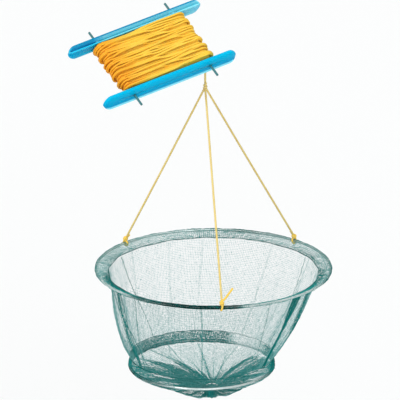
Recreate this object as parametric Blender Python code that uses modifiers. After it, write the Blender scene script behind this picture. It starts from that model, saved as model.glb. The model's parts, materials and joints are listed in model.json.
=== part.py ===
"""Crab hoop net hanging from its line winder. Lengths in metres, +Z up, -Y toward the front.

The origin is the middle of the winder, where a hand holds it. The basket hangs below on its line.
"""

import bpy
import bmesh
from math import atan2, ceil, cos, pi, radians, sin, sqrt
from mathutils import Matrix, Vector

# Winder attitude, as it hangs in the hand: its rails' own X, rods' own Y, open face's own Z
winder_turn_deg = 29.8
winder_lift_deg = 10.8
winder_roll_deg = 30.5

# Winder rails: long open troughs, rims up on the upper rail and down on the lower rail
rail_length = 0.1968
rail_width = 0.0085
rail_depth = 0.0195
rail_wall = 0.0014
rail_end_length = 0.0120
rail_nose_share = 0.50
rail_lip_height = 0.0016
rail_lip_reach = 0.0007
rail_pitch = 0.0878
rail_shift = -0.0020
rail_end_points = 8
rail_rings = 6
rail_fullness = 2.8
rail_bowl_deg = 84.0

# Winder rods
rod_diameter = 0.0030
rod_length = 0.1310
rod_spacing = 0.1115
rod_chamfer = 0.0004
bore_clearance = 0.0003

# Line and its winding
cord_diameter = 0.0030
pack_outer_radius = 0.0079
pack_loops = 22
loop_gap = 0.0005
seat_gap = 0.0003
round_points = 8
loop_points = 22
last_loop_lift = 0.0037
pack_start_share = 0.55
last_crest_share = 0.80
core_edge_share = 0.60
exit_round_share = 0.82
exit_bend_length = 0.0070
exit_straight = 0.0035
line_drop = 0.0251
line_tip_length = 0.0010
line_tip_share = 0.30

# Bridle
apex_above_hoop = 0.2420
apex_knot_width = 0.0086
apex_knot_height = 0.0112
leg_start = 0.0055
knot_width = 0.0074
knot_height = 0.0082
knot_above_wire = 0.0082
knot_angles_deg = {"left": 139.0, "right": 46.0, "front": -86.0}
knot_loop_radius = 0.0047
loop_hole_clearance = 0.0013
loop_hole_shift = 0.0003
knot_tails = {
    "left": (0.0030, 0.0060, 0.0090),
    "right": (-0.0030, 0.0065, 0.0085),
    "front": (0.0125, -0.0015, 0.0225),
}
cord_segments = 2

# Hoops
upper_hoop_diameter = 0.3000
lower_hoop_diameter = 0.1852
wire_diameter = 0.0030
hoop_drop = 0.1300
lower_hoop_shift = -0.0150
apex_shift = -0.0106
hoop_segments = 56
wire_sides = 8

# Net sleeves sewn round the hoops
sleeve_thickness = 0.0006
sleeve_gap = 0.0003
upper_sleeve_width = 0.0154
upper_sleeve_drop = 0.0048
lower_sleeve_height = 0.0118
lower_sleeve_inset = 0.0014
sleeve_arc_points = 5
sleeve_wrap_deg = 95.0
seam_diameter = 0.0020
seam_lowering = 0.0004
seam_sides = 5
upper_sleeve_inner_radius = upper_hoop_diameter / 2 - upper_sleeve_width
lower_sleeve_top_radius = lower_hoop_diameter / 2 - lower_sleeve_inset
upper_seam_radius = upper_sleeve_inner_radius - seam_diameter / 2 - seat_gap
upper_seam_drop = upper_sleeve_drop + seam_lowering
lower_seam_height = lower_sleeve_height + seam_lowering + seam_diameter / 2

# Net wall between the hoops
net_thickness = 0.0008
wall_openings_round = 24
wall_openings_down = 4
wall_strand_width = 0.0048
wall_fold_count = 15
wall_fold_depth = 0.0032
wall_second_fold_count = 7
wall_second_fold_depth = 0.0014
wall_swell_power = 0.8
wall_top_fold_share = 0.25

# Net floor and its gathered bunch
floor_columns = 48
floor_rows = 5
floor_rim_inset = 0.0016
floor_rim_drop = 0.0031
floor_sag = 0.0260
floor_front_deg = -84.0
floor_front_power = 0.30
floor_side_power = 0.95
floor_front_narrowing = 8.0
floor_row_power = 1.5
floor_fold_count = 12
floor_fold_depth = 0.0030
gather_shift_x = 0.0130
gather_shift_y = -0.0040
gather_mouth_radius = 0.0078
gather_neck_radius = 0.0032
gather_tail_radius = 0.0052
gather_length = 0.0150
gather_folds = 8
gather_fold_share = 0.16
tie_drop_share = 0.46
tie_diameter = 0.0016

KNOT_SIDES = ("left", "right", "front")
WINDER = (
    Matrix.Rotation(radians(winder_turn_deg), 3, "Z")
    @ Matrix.Rotation(radians(-winder_lift_deg), 3, "Y")
    @ Matrix.Rotation(radians(winder_roll_deg), 3, "X")
)
DOWN_IN_WINDER = WINDER.transposed() @ Vector((0, 0, -1))


def clear_scene():
    for obj in list(bpy.data.objects):
        bpy.data.objects.remove(obj, do_unlink=True)


def material(name, colour, roughness, metallic=0.0):
    mat = bpy.data.materials.new(name)
    mat.use_nodes = True
    shader = mat.node_tree.nodes["Principled BSDF"]
    shader.inputs["Base Color"].default_value = (*colour, 1.0)
    shader.inputs["Roughness"].default_value = roughness
    shader.inputs["Metallic"].default_value = metallic
    mat.diffuse_color = (*colour, 1.0)
    return mat


def finish(obj, name, colour, roughness, metallic=0.0):
    obj.name = name
    obj.data.name = name
    obj.data.materials.clear()
    obj.data.materials.append(material(name, colour, roughness, metallic))
    return obj


def link(name, mesh):
    obj = bpy.data.objects.new(name, mesh)
    bpy.context.scene.collection.objects.link(obj)
    return obj


def mesh_object(name, points, faces):
    mesh = bpy.data.meshes.new(name)
    mesh.from_pydata([tuple(p) for p in points], [], faces)
    mesh.update()
    work = bmesh.new()
    work.from_mesh(mesh)
    bmesh.ops.remove_doubles(work, verts=work.verts, dist=0.00001)
    bmesh.ops.recalc_face_normals(work, faces=work.faces)
    work.to_mesh(mesh)
    work.free()
    return link(name, mesh)


def set_origin(obj, place):
    """Moves the object's origin to a place without moving its shape."""
    shift = Vector(place)
    obj.data.transform(Matrix.Translation(-shift))
    obj.location = shift


def tube(name, points, diameter, cyclic=False, resolution=cord_segments, tip_share=1.0):
    """A round tube along points, closed at both ends, as a mesh."""
    curve = bpy.data.curves.new(name, "CURVE")
    curve.dimensions = "3D"
    curve.resolution_u = 1
    curve.bevel_depth = diameter / 2
    curve.bevel_resolution = resolution
    curve.use_fill_caps = True
    curve.twist_mode = "MINIMUM"
    spline = curve.splines.new("POLY")
    spline.points.add(len(points) - 1)
    for target, point in zip(spline.points, points):
        target.co = (*point, 1.0)
    spline.points[0].radius = tip_share
    spline.use_cyclic_u = cyclic
    holder = link(name, curve)
    graph = bpy.context.evaluated_depsgraph_get()
    mesh = bpy.data.meshes.new_from_object(holder.evaluated_get(graph))
    bpy.data.objects.remove(holder, do_unlink=True)
    work = bmesh.new()
    work.from_mesh(mesh)
    bmesh.ops.remove_doubles(work, verts=work.verts, dist=0.00001)
    bmesh.ops.recalc_face_normals(work, faces=work.faces)
    work.to_mesh(mesh)
    work.free()
    mesh.materials.clear()
    return link(name, mesh)


def helper(obj):
    obj.hide_render = True
    obj.display_type = "WIRE"
    return obj


def combine(obj, other, operation):
    """Adds or cuts another mesh, which stays in the scene as a hidden helper."""
    step = obj.modifiers.new(operation.title(), "BOOLEAN")
    step.operation = operation
    step.solver = "EXACT"
    step.object = helper(other)


def rod_shape(name, radius, length, place, direction, sides):
    """A cylinder centred at place along direction."""
    bpy.ops.mesh.primitive_cylinder_add(vertices=sides, radius=radius, depth=length)
    obj = bpy.context.object
    turn = Vector((0, 0, 1)).rotation_difference(Vector(direction)).to_matrix().to_4x4()
    obj.data.transform(Matrix.Translation(Vector(place)) @ turn)
    obj.name = name
    return obj


def ellipsoid(name, width, height, place, direction):
    """A round lump centred at place, with its long way along direction."""
    bpy.ops.mesh.primitive_uv_sphere_add(segments=10, ring_count=7, radius=0.5)
    obj = bpy.context.object
    turn = Vector((0, 0, 1)).rotation_difference(Vector(direction)).to_matrix().to_4x4()
    size = Matrix.Diagonal((width, width, height, 1.0))
    obj.data.transform(Matrix.Translation(Vector(place)) @ turn @ size)
    obj.name = name
    return obj


def grid_faces(columns, rows):
    """Quads over rows of points, each row a closed ring of columns."""
    faces = []
    for row in range(rows - 1):
        upper = row * columns
        lower = (row + 1) * columns
        for column in range(columns):
            after = (column + 1) % columns
            faces.append((upper + column, upper + after, lower + after, lower + column))
    return faces


def turned(obj):
    """Lays a shape drawn in the winder's own axes as the winder hangs."""
    obj.data.transform(WINDER.to_4x4())
    return obj


# Winder rails
def trough_outline(half_length, half_width, end_length):
    """Plan outline of the trough: straight sides with half-elliptical ends, counterclockwise."""
    straight = half_length - end_length
    points = []
    for side in (1, -1):
        for step in range(rail_end_points):
            angle = -pi / 2 + pi * step / (rail_end_points - 1)
            points.append((side * (straight + end_length * cos(angle)), side * half_width * sin(angle)))
    return points


def nosed(x, z):
    """A height drawn in toward mid-depth where x runs into the rail's bullet nose."""
    straight = rail_length / 2 - rail_end_length
    part = max(0.0, (abs(x) - straight) / rail_end_length)
    middle = -rail_depth / 2
    return middle + (z - middle) * (1 - rail_nose_share * part**2)


def strips_across(first):
    """Faces from one side of a plan outline to the other, so that each lies level."""
    faces = []
    for end in (first, first + rail_end_points):
        for step in range(rail_end_points // 2 - 1):
            low = end + step
            high = end + rail_end_points - 1 - step
            faces.append((low, low + 1, high - 1, high))
    last = first + 2 * rail_end_points - 1
    faces.append((first, first + rail_end_points - 1, first + rail_end_points, last))
    return faces


def closed_stack(name, rings):
    """A solid through plan outlines at given heights, from the top one down."""
    columns = len(rings[0][0])
    points = [(x, y, nosed(x, z)) for outline, z in rings for x, y in outline]
    faces = grid_faces(columns, len(rings)) + strips_across(0) + strips_across(len(points) - columns)
    return mesh_object(name, points, faces)


def bowl(name, half_length, half_width, depth, end_length, top):
    """A solid hull with a level top and a rounded bottom at minus depth."""
    rings = [(trough_outline(half_length, half_width, end_length), top)]
    for step in range(1, rail_rings):
        angle = radians(rail_bowl_deg) * step / (rail_rings - 1)
        narrow = cos(angle) ** (2 / rail_fullness)
        low = sin(angle) ** (2 / rail_fullness) * depth
        straight = half_length - end_length
        outline = trough_outline(straight + end_length * narrow, half_width * narrow, end_length * narrow)
        rings.append((outline, -low))
    return closed_stack(name, rings)


def lip_slab(name):
    """The bead round the rim, as a slab that the hollow is then cut from."""
    outline = trough_outline(
        rail_length / 2, rail_width / 2 + rail_lip_reach, rail_end_length + rail_lip_reach
    )
    return closed_stack(name, [(outline, 0.0), (outline, -rail_lip_height)])


def make_rail(name, across, rims_up, colour):
    hull_half = rail_length / 2 - rail_lip_reach
    hull = bowl(name, hull_half, rail_width / 2, rail_depth, rail_end_length, -rail_lip_height / 2)
    slab = lip_slab(name + "_lip")
    hollow = bowl(
        name + "_hollow",
        hull_half - rail_wall,
        rail_width / 2 - rail_wall,
        rail_depth - rail_wall,
        rail_end_length - rail_wall,
        rail_wall,
    )
    shapes = [hull, slab, hollow]
    for side in (-1, 1):
        place = (side * rod_spacing / 2 - rail_shift, 0, -rail_depth / 2)
        bore = rod_diameter / 2 + bore_clearance
        shapes.append(rod_shape(name + "_bore", bore, 4 * rail_width, place, (0, 1, 0), 16))
    flip = Matrix.Identity(4) if rims_up else Matrix.Rotation(pi, 4, "X")
    lift = rail_depth / 2 if rims_up else -rail_depth / 2
    for shape in shapes:
        shape.data.transform(flip)
        shape.data.transform(Matrix.Translation((rail_shift, across, lift)))
        turned(shape)
    combine(hull, slab, "UNION")
    for cutter in shapes[2:]:
        combine(hull, cutter, "DIFFERENCE")
    return finish(hull, name, colour, 0.28)


def make_rod(name, along):
    rod = rod_shape(name, rod_diameter / 2, rod_length, (along, 0, 0), (0, 1, 0), 16)
    turned(rod)
    edge = rod.modifiers.new("Rounding", "BEVEL")
    edge.width = rod_chamfer
    edge.segments = 2
    edge.limit_method = "ANGLE"
    return finish(rod, name, (0.05, 0.16, 0.17), 0.35)


# Line winding
loop_radius = pack_outer_radius - cord_diameter / 2
loop_pitch = cord_diameter + loop_gap


def half_turn(side, across_from, across_to, radius_from, radius_to, share=1.0):
    """Points round one rod, from the top over the end toward the bottom for side 1."""
    points = []
    count = max(2, int(round(round_points * share)))
    for step in range(count + 1):
        part = step / count
        angle = pi * share * part
        radius = radius_from + (radius_to - radius_from) * part
        across = across_from + (across_to - across_from) * part
        x = side * (rod_spacing / 2 + radius * sin(angle))
        z = side * radius * cos(angle)
        points.append(Vector((x, across, z)))
    return points


def run(start, end, count):
    """Points strictly between two ends of a straight run."""
    return [start.lerp(end, step / (count + 1)) for step in range(1, count + 1)]


def winding_points():
    half = rod_spacing / 2
    first = (pack_loops - 1) * loop_pitch / 2
    points = [Vector((-half * pack_start_share, first, loop_radius))]
    across = first
    for loop in range(pack_loops - 1):
        start = points[-1]
        over = half_turn(1, across, across, loop_radius, loop_radius)
        points += run(start, over[0], 2) + over
        across_next = across - loop_pitch
        under = half_turn(-1, across_next, across_next, loop_radius, loop_radius)
        points += run(over[-1], under[0], 2) + under
        across = across_next
    lifted = loop_radius + last_loop_lift
    start = points[-1]
    climb = Vector((0.0, across, loop_radius))
    crest = Vector((half * last_crest_share, across, lifted))
    points += run(start, climb, 1) + [climb] + run(climb, crest, 2) + [crest]
    points += half_turn(1, across, across + loop_pitch, lifted, lifted, exit_round_share)
    before, corner = points[-2], points[-1]
    heading = (corner - before).normalized()
    bend_end = corner + (heading + DOWN_IN_WINDER).normalized() * exit_bend_length
    for step in range(1, 6):
        part = step / 5
        h00 = 2 * part**3 - 3 * part**2 + 1
        h10 = part**3 - 2 * part**2 + part
        h01 = -2 * part**3 + 3 * part**2
        h11 = part**3 - part**2
        point = corner * h00 + heading * (h10 * exit_bend_length)
        point += bend_end * h01 + DOWN_IN_WINDER * (h11 * exit_bend_length)
        points.append(point)
    points.append(bend_end + DOWN_IN_WINDER * exit_straight)
    return points


def least_self_gap(points, diameter):
    """Least clear distance between parts of a tube that aren't neighbours along it."""
    dense = []
    length = [0.0]
    for start, end in zip(points, points[1:]):
        steps = max(1, ceil((end - start).length / (diameter / 2)))
        for step in range(steps):
            dense.append(start.lerp(end, step / steps))
            length.append(length[-1] + (end - start).length / steps)
    least = 1.0
    for first in range(len(dense)):
        for second in range(first + 1, len(dense)):
            if length[second] - length[first] < 4 * diameter:
                continue
            gap = (dense[second] - dense[first]).length
            least = min(least, gap)
    return least - diameter


def make_winding():
    local = winding_points()
    # A loop's neighbours repeat, so the last five loops and the exit stand for them all
    tail = local[-5 * loop_points:]
    print("least gap between turns, mm:", round(1000 * least_self_gap(tail, cord_diameter), 2))
    points = [WINDER @ point for point in local]
    winding = tube("line_winding", points, cord_diameter, resolution=1)
    return finish(winding, "line_winding", (0.84, 0.55, 0.08), 0.6), points[-1]


def make_core():
    radius = loop_radius - cord_diameter / 2 - seat_gap
    half = rod_spacing / 2
    outline = []
    for side in (1, -1):
        for step in range(11):
            angle = pi * step / 10
            outline.append((side * (half + radius * sin(angle)), side * radius * cos(angle)))
    width = (pack_loops - 1) * loop_pitch + cord_diameter * core_edge_share
    columns = len(outline)
    points = [(x, -width / 2, z) for x, z in outline] + [(x, width / 2, z) for x, z in outline]
    faces = grid_faces(columns, 2)
    faces.append(tuple(range(columns)))
    faces.append(tuple(range(columns, 2 * columns)))
    core = turned(mesh_object("line_inner_layers", points, faces))
    for side in (-1, 1):
        bore = rod_diameter / 2 + bore_clearance
        cutter = rod_shape("core_bore", bore, 2 * width, (side * half, 0, 0), (0, 1, 0), 16)
        combine(core, turned(cutter), "DIFFERENCE")
    return finish(core, "line_inner_layers", (0.80, 0.50, 0.07), 0.65)


# Hoops, sleeves and seams
def make_hoop(name, outer_diameter, place):
    bpy.ops.mesh.primitive_torus_add(
        major_radius=(outer_diameter - wire_diameter) / 2,
        minor_radius=wire_diameter / 2,
        major_segments=hoop_segments,
        minor_segments=wire_sides,
    )
    hoop = bpy.context.object
    hoop.data.transform(Matrix.Translation(Vector(place)))
    return finish(hoop, name, (0.10, 0.22, 0.22), 0.4, 0.3)


def sleeve_profile(wire_radius, hem_end):
    """Section of a sleeve folded round the wire, with its two layers ending at hem_end."""
    inner = wire_diameter / 2 + sleeve_gap
    outer = inner + sleeve_thickness
    heading = atan2(hem_end[1], hem_end[0] - wire_radius)
    reach = sqrt((hem_end[0] - wire_radius) ** 2 + hem_end[1] ** 2)
    part_gap = sleeve_gap / 2
    section = []
    spread = radians(sleeve_wrap_deg)
    last = sleeve_arc_points - 1
    for step in range(sleeve_arc_points):
        angle = heading + pi - spread + 2 * spread * step / last
        section.append((outer * cos(angle), outer * sin(angle)))
    along = Vector((cos(heading), sin(heading)))
    across = Vector((-along.y, along.x))
    far = along * reach
    section.append(tuple(far - across * (part_gap + sleeve_thickness)))
    section.append(tuple(far - across * part_gap))
    for step in range(sleeve_arc_points):
        angle = heading + pi + spread - 2 * spread * step / last
        section.append((inner * cos(angle), inner * sin(angle)))
    section.append(tuple(far + across * part_gap))
    section.append(tuple(far + across * (part_gap + sleeve_thickness)))
    return [(wire_radius + x, z) for x, z in section]


def revolve(name, profile, place, segments):
    """A ring with the given section, turned round the vertical through place."""
    points = [(radius, 0.0, height) for radius, height in profile]
    mesh = bpy.data.meshes.new(name)
    edges = [(i, (i + 1) % len(points)) for i in range(len(points))]
    mesh.from_pydata(points, edges, [])
    ring = link(name, mesh)
    turn = ring.modifiers.new("Turn", "SCREW")
    turn.axis = "Z"
    turn.angle = 2 * pi
    turn.steps = segments
    turn.render_steps = segments
    turn.use_merge_vertices = True
    turn.merge_threshold = 0.00001
    turn.use_normal_calculate = True
    graph = bpy.context.evaluated_depsgraph_get()
    solid = bpy.data.meshes.new_from_object(ring.evaluated_get(graph))
    bpy.data.objects.remove(ring, do_unlink=True)
    work = bmesh.new()
    work.from_mesh(solid)
    bmesh.ops.remove_doubles(work, verts=work.verts, dist=0.00001)
    bmesh.ops.recalc_face_normals(work, faces=work.faces)
    work.to_mesh(solid)
    work.free()
    solid.transform(Matrix.Translation(Vector(place)))
    return link(name, solid)


def make_seam(name, radius, place):
    bpy.ops.mesh.primitive_torus_add(
        major_radius=radius,
        minor_radius=seam_diameter / 2,
        major_segments=hoop_segments,
        minor_segments=seam_sides,
    )
    seam = bpy.context.object
    seam.data.transform(Matrix.Translation(Vector(place)))
    return finish(seam, name, (0.03, 0.25, 0.23), 0.7)


# Net wall and floor
wall_top = -upper_seam_drop - seam_diameter / 2 - seat_gap
wall_bottom = -hoop_drop + lower_seam_height + seam_diameter / 2 + seat_gap


def wall_point(centre, angle, part):
    """A point of the net wall, part 0 under the upper seam and 1 over the lower seam."""
    radius = upper_seam_radius + (lower_sleeve_top_radius - upper_seam_radius) * part
    swell = sin(pi * part)
    ripple = wall_fold_depth * sin(wall_fold_count * angle + 0.8 * sin(3 * angle))
    ripple += wall_second_fold_depth * sin(wall_second_fold_count * angle + 2.1)
    depth_share = wall_top_fold_share + (1 - wall_top_fold_share) * part
    radius += swell**wall_swell_power * depth_share * ripple
    middle = centre.x + lower_hoop_shift * part
    x = middle + radius * cos(angle)
    y = centre.y + radius * sin(angle)
    return Vector((x, y, centre.z + wall_top + (wall_bottom - wall_top) * part))


def thin_sheet(name, points, faces, colour):
    sheet = mesh_object(name, points, faces)
    thick = sheet.modifiers.new("Thickness", "SOLIDIFY")
    thick.thickness = net_thickness
    thick.offset = 0.0
    thick.use_rim = True
    return finish(sheet, name, colour, 0.8)


def make_wall(centre):
    """A coarse lattice in the folded shape of the net: rings and upright strands round openings."""
    ring_share = wall_strand_width / (wall_top - wall_bottom)
    strand_turn = 2 * wall_strand_width / (upper_seam_radius + lower_sleeve_top_radius)
    angles = []
    for opening in range(wall_openings_round):
        start = 2 * pi * opening / wall_openings_round
        angles += [start, start + strand_turn]
    parts = []
    for ring in range(wall_openings_down + 1):
        start = (1 - ring_share) * ring / wall_openings_down
        parts += [start, start + ring_share]
    points = [wall_point(centre, angle, part) for part in parts for angle in angles]
    faces = []
    for place, face in enumerate(grid_faces(len(angles), len(parts))):
        in_ring = place // len(angles) % 2 == 0
        in_strand = place % 2 == 0
        if in_ring or in_strand:
            faces.append(face)
    return thin_sheet("net_wall", points, faces, (0.30, 0.55, 0.53))


def floor_hang(angle, part):
    """How far the floor has dropped, 0 at the rim and 1 at the bunch: baggy toward the front."""
    front = (0.5 + 0.5 * cos(angle - radians(floor_front_deg))) ** floor_front_narrowing
    power = floor_side_power + (floor_front_power - floor_side_power) * front
    return part**power


def make_floor(lower, gather):
    points = []
    rim_radius = lower_hoop_diameter / 2 - floor_rim_inset
    for row in range(floor_rows):
        part = (row / (floor_rows - 1)) ** floor_row_power
        for column in range(floor_columns):
            angle = 2 * pi * column / floor_columns
            rim = lower + Vector((rim_radius * cos(angle), rim_radius * sin(angle), 0))
            mouth_radius = gather_mouth_radius + net_thickness
            mouth = gather + Vector((mouth_radius * cos(angle), mouth_radius * sin(angle), 0))
            point = rim.lerp(mouth, part)
            hang = floor_hang(angle, part)
            point.z = lower.z - floor_rim_drop - (floor_sag - floor_rim_drop) * hang
            fold = sin(floor_fold_count * angle + 1.1 * sin(2 * angle))
            point.z += floor_fold_depth * sin(pi * part) * fold
            points.append(point)
    return thin_sheet("net_floor", points, grid_faces(floor_columns, floor_rows), (0.25, 0.50, 0.48))


def make_gather(gather):
    """The bunch of netting drawn together under the floor, fluted and waisted at its tie."""
    columns = gather_folds * 4
    profile = [
        (gather_mouth_radius * 0.35, net_thickness),
        (gather_mouth_radius, 0.0),
        (gather_mouth_radius * 0.62, -0.18 * gather_length),
        (gather_neck_radius, -0.40 * gather_length),
        (gather_neck_radius, -0.52 * gather_length),
        (gather_tail_radius, -0.80 * gather_length),
        (gather_tail_radius * 0.9, -gather_length),
    ]
    points = []
    for full_radius, drop in profile:
        for column in range(columns):
            angle = 2 * pi * column / columns
            flute = 1 + gather_fold_share * cos(gather_folds * angle)
            if drop < -0.3 * gather_length and drop > -0.6 * gather_length:
                flute = 1
            radius = full_radius * flute / (1 + gather_fold_share)
            place = gather + Vector((radius * cos(angle), radius * sin(angle), drop))
            points.append(place)
    faces = grid_faces(columns, len(profile))
    faces.append(tuple(range(columns)))
    faces.append(tuple(range(len(points) - columns, len(points))))
    bunch = mesh_object("floor_gather", points, faces)
    return finish(bunch, "floor_gather", (0.03, 0.28, 0.26), 0.8)


# Bridle
def make_hoop_knot(side, centre, apex):
    angle = radians(knot_angles_deg[side])
    outward = Vector((cos(angle), sin(angle), 0))
    wire = centre + outward * (upper_hoop_diameter - wire_diameter) / 2
    lump = wire + Vector((0, 0, knot_above_wire))
    pull = (apex - lump).normalized()
    name = "bridle_knot_" + side
    knot = ellipsoid(name, knot_width, knot_height, lump, pull)
    ring = []
    for step in range(16):
        turn = 2 * pi * step / 16
        reach = outward * (knot_loop_radius * cos(turn))
        ring.append(wire + reach + Vector((0, 0, knot_loop_radius * sin(turn))))
    combine(knot, tube(name + "_loop", ring, cord_diameter, cyclic=True), "UNION")
    tail = Vector(knot_tails[side])
    middle = tail * 0.5 + Vector((tail.x * 0.10, 0.0, -tail.z * 0.06))
    path = [lump, lump + middle * 0.5, lump + middle, lump + tail * 0.78, lump + tail]
    combine(knot, tube(name + "_tail", path, cord_diameter * 0.9), "UNION")
    return finish(knot, name, (0.80, 0.60, 0.16), 0.6), lump, pull


def cut_loop_holes(sleeve, centre):
    """Lets each bridle loop pass through the net just inside the wire."""
    for side in KNOT_SIDES:
        angle = radians(knot_angles_deg[side])
        radius = (upper_hoop_diameter - wire_diameter) / 2 - knot_loop_radius + loop_hole_shift
        place = centre + Vector((radius * cos(angle), radius * sin(angle), 0))
        hole_radius = cord_diameter / 2 + loop_hole_clearance
        hole = rod_shape("loop_hole", hole_radius, 4 * upper_sleeve_drop, place, (0, 0, 1), 12)
        combine(sleeve, hole, "DIFFERENCE")


def make_leg(side, lump, pull, apex):
    start = apex - pull * leg_start
    end = lump + pull * (knot_height / 2 + seat_gap)
    count = 7
    points = [start.lerp(end, step / (count - 1)) for step in range(count)]
    leg = tube("bridle_leg_" + side, points, cord_diameter)
    return finish(leg, "bridle_leg_" + side, (0.80, 0.60, 0.16), 0.6)


def main():
    clear_scene()
    half_pitch = rail_pitch / 2
    make_rail("winder_rail_upper", half_pitch, True, (0.02, 0.55, 0.78))
    make_rail("winder_rail_lower", -half_pitch, False, (0.01, 0.42, 0.72))
    make_rod("winder_rod_left", -rod_spacing / 2)
    make_rod("winder_rod_right", rod_spacing / 2)
    make_core()
    winding, exit_end = make_winding()

    exit_point = exit_end + Vector((0, 0, -seat_gap))
    apex = exit_point + Vector((0, 0, -line_drop))
    centre = apex + Vector((-apex_shift, 0, -apex_above_hoop))
    lower = centre + Vector((lower_hoop_shift, 0, -hoop_drop))
    print("line exit, mm:", [round(1000 * v, 2) for v in exit_point])
    print("apex, mm:", [round(1000 * v, 2) for v in apex])
    print("upper hoop centre, mm:", [round(1000 * v, 2) for v in centre])
    print("lower hoop centre, mm:", [round(1000 * v, 2) for v in lower])

    knot_top = apex + Vector((0, 0, apex_knot_height / 2 + seat_gap))
    shoulder = exit_point + Vector((0, 0, -line_tip_length))
    path = [exit_point] + [shoulder.lerp(knot_top, step / 5) for step in range(6)]
    line = tube("hand_line", path, cord_diameter, tip_share=line_tip_share)
    finish(line, "hand_line", (0.80, 0.60, 0.16), 0.6)
    set_origin(line, exit_point)

    basket = []
    knot = ellipsoid("apex_knot", apex_knot_width, apex_knot_height, apex, (0, 0, 1))
    basket.append(finish(knot, "apex_knot", (0.80, 0.60, 0.16), 0.6))
    for side in KNOT_SIDES:
        hoop_knot, lump, pull = make_hoop_knot(side, centre, apex)
        basket.append(hoop_knot)
        basket.append(make_leg(side, lump, pull, apex))
    basket.append(make_hoop("upper_hoop", upper_hoop_diameter, centre))
    wire_radius = (upper_hoop_diameter - wire_diameter) / 2
    profile = sleeve_profile(wire_radius, (upper_sleeve_inner_radius, -upper_sleeve_drop))
    hem = revolve("upper_hem", profile, centre, hoop_segments)
    cut_loop_holes(hem, centre)
    basket.append(finish(hem, "upper_hem", (0.45, 0.66, 0.64), 0.8))
    seam_place = centre + Vector((0, 0, -upper_seam_drop))
    basket.append(make_seam("upper_hem_seam", upper_seam_radius, seam_place))
    basket.append(make_wall(centre))
    for piece in basket:
        set_origin(piece, apex)

    bottom = [make_hoop("lower_hoop", lower_hoop_diameter, lower)]
    wire_radius = (lower_hoop_diameter - wire_diameter) / 2
    profile = sleeve_profile(wire_radius, (lower_sleeve_top_radius, lower_sleeve_height))
    hem = revolve("lower_hem", profile, lower, hoop_segments)
    bottom.append(finish(hem, "lower_hem", (0.35, 0.62, 0.60), 0.8))
    seam_place = lower + Vector((0, 0, lower_seam_height))
    bottom.append(make_seam("lower_hem_seam", lower_sleeve_top_radius, seam_place))
    gather = lower + Vector((gather_shift_x, gather_shift_y, -floor_sag))
    bottom.append(make_floor(lower, gather))
    bottom.append(make_gather(gather + Vector((0, 0, -net_thickness / 2 - seat_gap))))
    tie_radius = gather_neck_radius / (1 + gather_fold_share) + tie_diameter / 2 + seat_gap
    bpy.ops.mesh.primitive_torus_add(
        major_radius=tie_radius, minor_radius=tie_diameter / 2, major_segments=16, minor_segments=5
    )
    tie = bpy.context.object
    tie_place = gather + Vector((0, 0, -tie_drop_share * gather_length - seat_gap))
    tie.data.transform(Matrix.Translation(tie_place))
    bottom.append(finish(tie, "floor_tie", (0.05, 0.32, 0.30), 0.7))
    for piece in bottom:
        set_origin(piece, lower)


main()
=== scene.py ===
"""Looks of the crab hoop net: winder, wound line, bridle, hoops and netting, over the CAD frame.

Lengths in metres, +Z up, -Y toward the front. The origin is the middle of the winder.
"""

import bpy
import bmesh
import json
import numpy as np
from math import ceil, cos, pi, radians, sin
from mathutils import Matrix, Vector

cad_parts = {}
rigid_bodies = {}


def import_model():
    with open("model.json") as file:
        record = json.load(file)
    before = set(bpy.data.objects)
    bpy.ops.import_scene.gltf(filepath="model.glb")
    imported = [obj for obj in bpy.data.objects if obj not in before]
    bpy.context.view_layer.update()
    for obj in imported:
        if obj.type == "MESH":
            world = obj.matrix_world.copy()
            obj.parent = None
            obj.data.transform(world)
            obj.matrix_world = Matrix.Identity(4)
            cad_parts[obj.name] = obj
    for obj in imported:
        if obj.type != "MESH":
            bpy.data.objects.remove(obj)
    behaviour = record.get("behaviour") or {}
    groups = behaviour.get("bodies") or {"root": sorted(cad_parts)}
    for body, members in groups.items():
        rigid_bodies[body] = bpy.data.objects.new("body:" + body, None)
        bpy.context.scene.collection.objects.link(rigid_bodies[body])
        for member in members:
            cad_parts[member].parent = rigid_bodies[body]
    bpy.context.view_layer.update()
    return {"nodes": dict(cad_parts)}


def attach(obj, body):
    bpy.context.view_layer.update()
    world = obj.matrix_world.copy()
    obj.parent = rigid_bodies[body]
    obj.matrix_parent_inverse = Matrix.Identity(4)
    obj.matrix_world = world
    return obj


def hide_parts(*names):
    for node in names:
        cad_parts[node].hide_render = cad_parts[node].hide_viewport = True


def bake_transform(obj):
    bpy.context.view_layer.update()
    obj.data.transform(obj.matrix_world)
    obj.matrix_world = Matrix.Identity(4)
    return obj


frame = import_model()
scene = bpy.context.scene

MM = 0.001

# Places that the source gives
APEX = Vector((0.06521, 0.01136, -0.04757))
UPPER = Vector((0.07581, 0.01136, -0.28957))
LOWER = Vector((0.06081, 0.01136, -0.41957))
BUNCH = LOWER + Vector((0.0130, -0.0040, -0.0260))
WINDER = (
    Matrix.Rotation(radians(29.8), 3, "Z")
    @ Matrix.Rotation(radians(-10.8), 3, "Y")
    @ Matrix.Rotation(radians(30.5), 3, "X")
)
DOWN_IN_WINDER = WINDER.transposed() @ Vector((0, 0, -1))

CORD = 3.0 * MM
WIRE = 3.0 * MM
UPPER_RING = 148.5 * MM
LOWER_RING = 91.1 * MM
ROD_HALF_SPACING = 55.75 * MM
RAIL_HALF_PITCH = 43.9 * MM
RAIL_SHIFT = -2.0 * MM


# Camera, as far off and as high as the photograph's
def aim_camera():
    camera = placed("camera", bpy.data.cameras.new("camera"))
    target = UPPER + Vector((-0.0171, 0.0282, 0.0818))
    tilt = radians(19.0)
    distance = 12.0
    width_seen = 0.5072
    sensor = 36.0
    camera.location = target + distance * Vector((0, -cos(tilt), sin(tilt)))
    camera.rotation_euler = (pi / 2 - tilt, 0, 0)
    camera.data.sensor_width = sensor
    camera.data.lens = sensor * distance / width_seen
    camera.data.clip_end = 60
    scene.camera = camera


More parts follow.
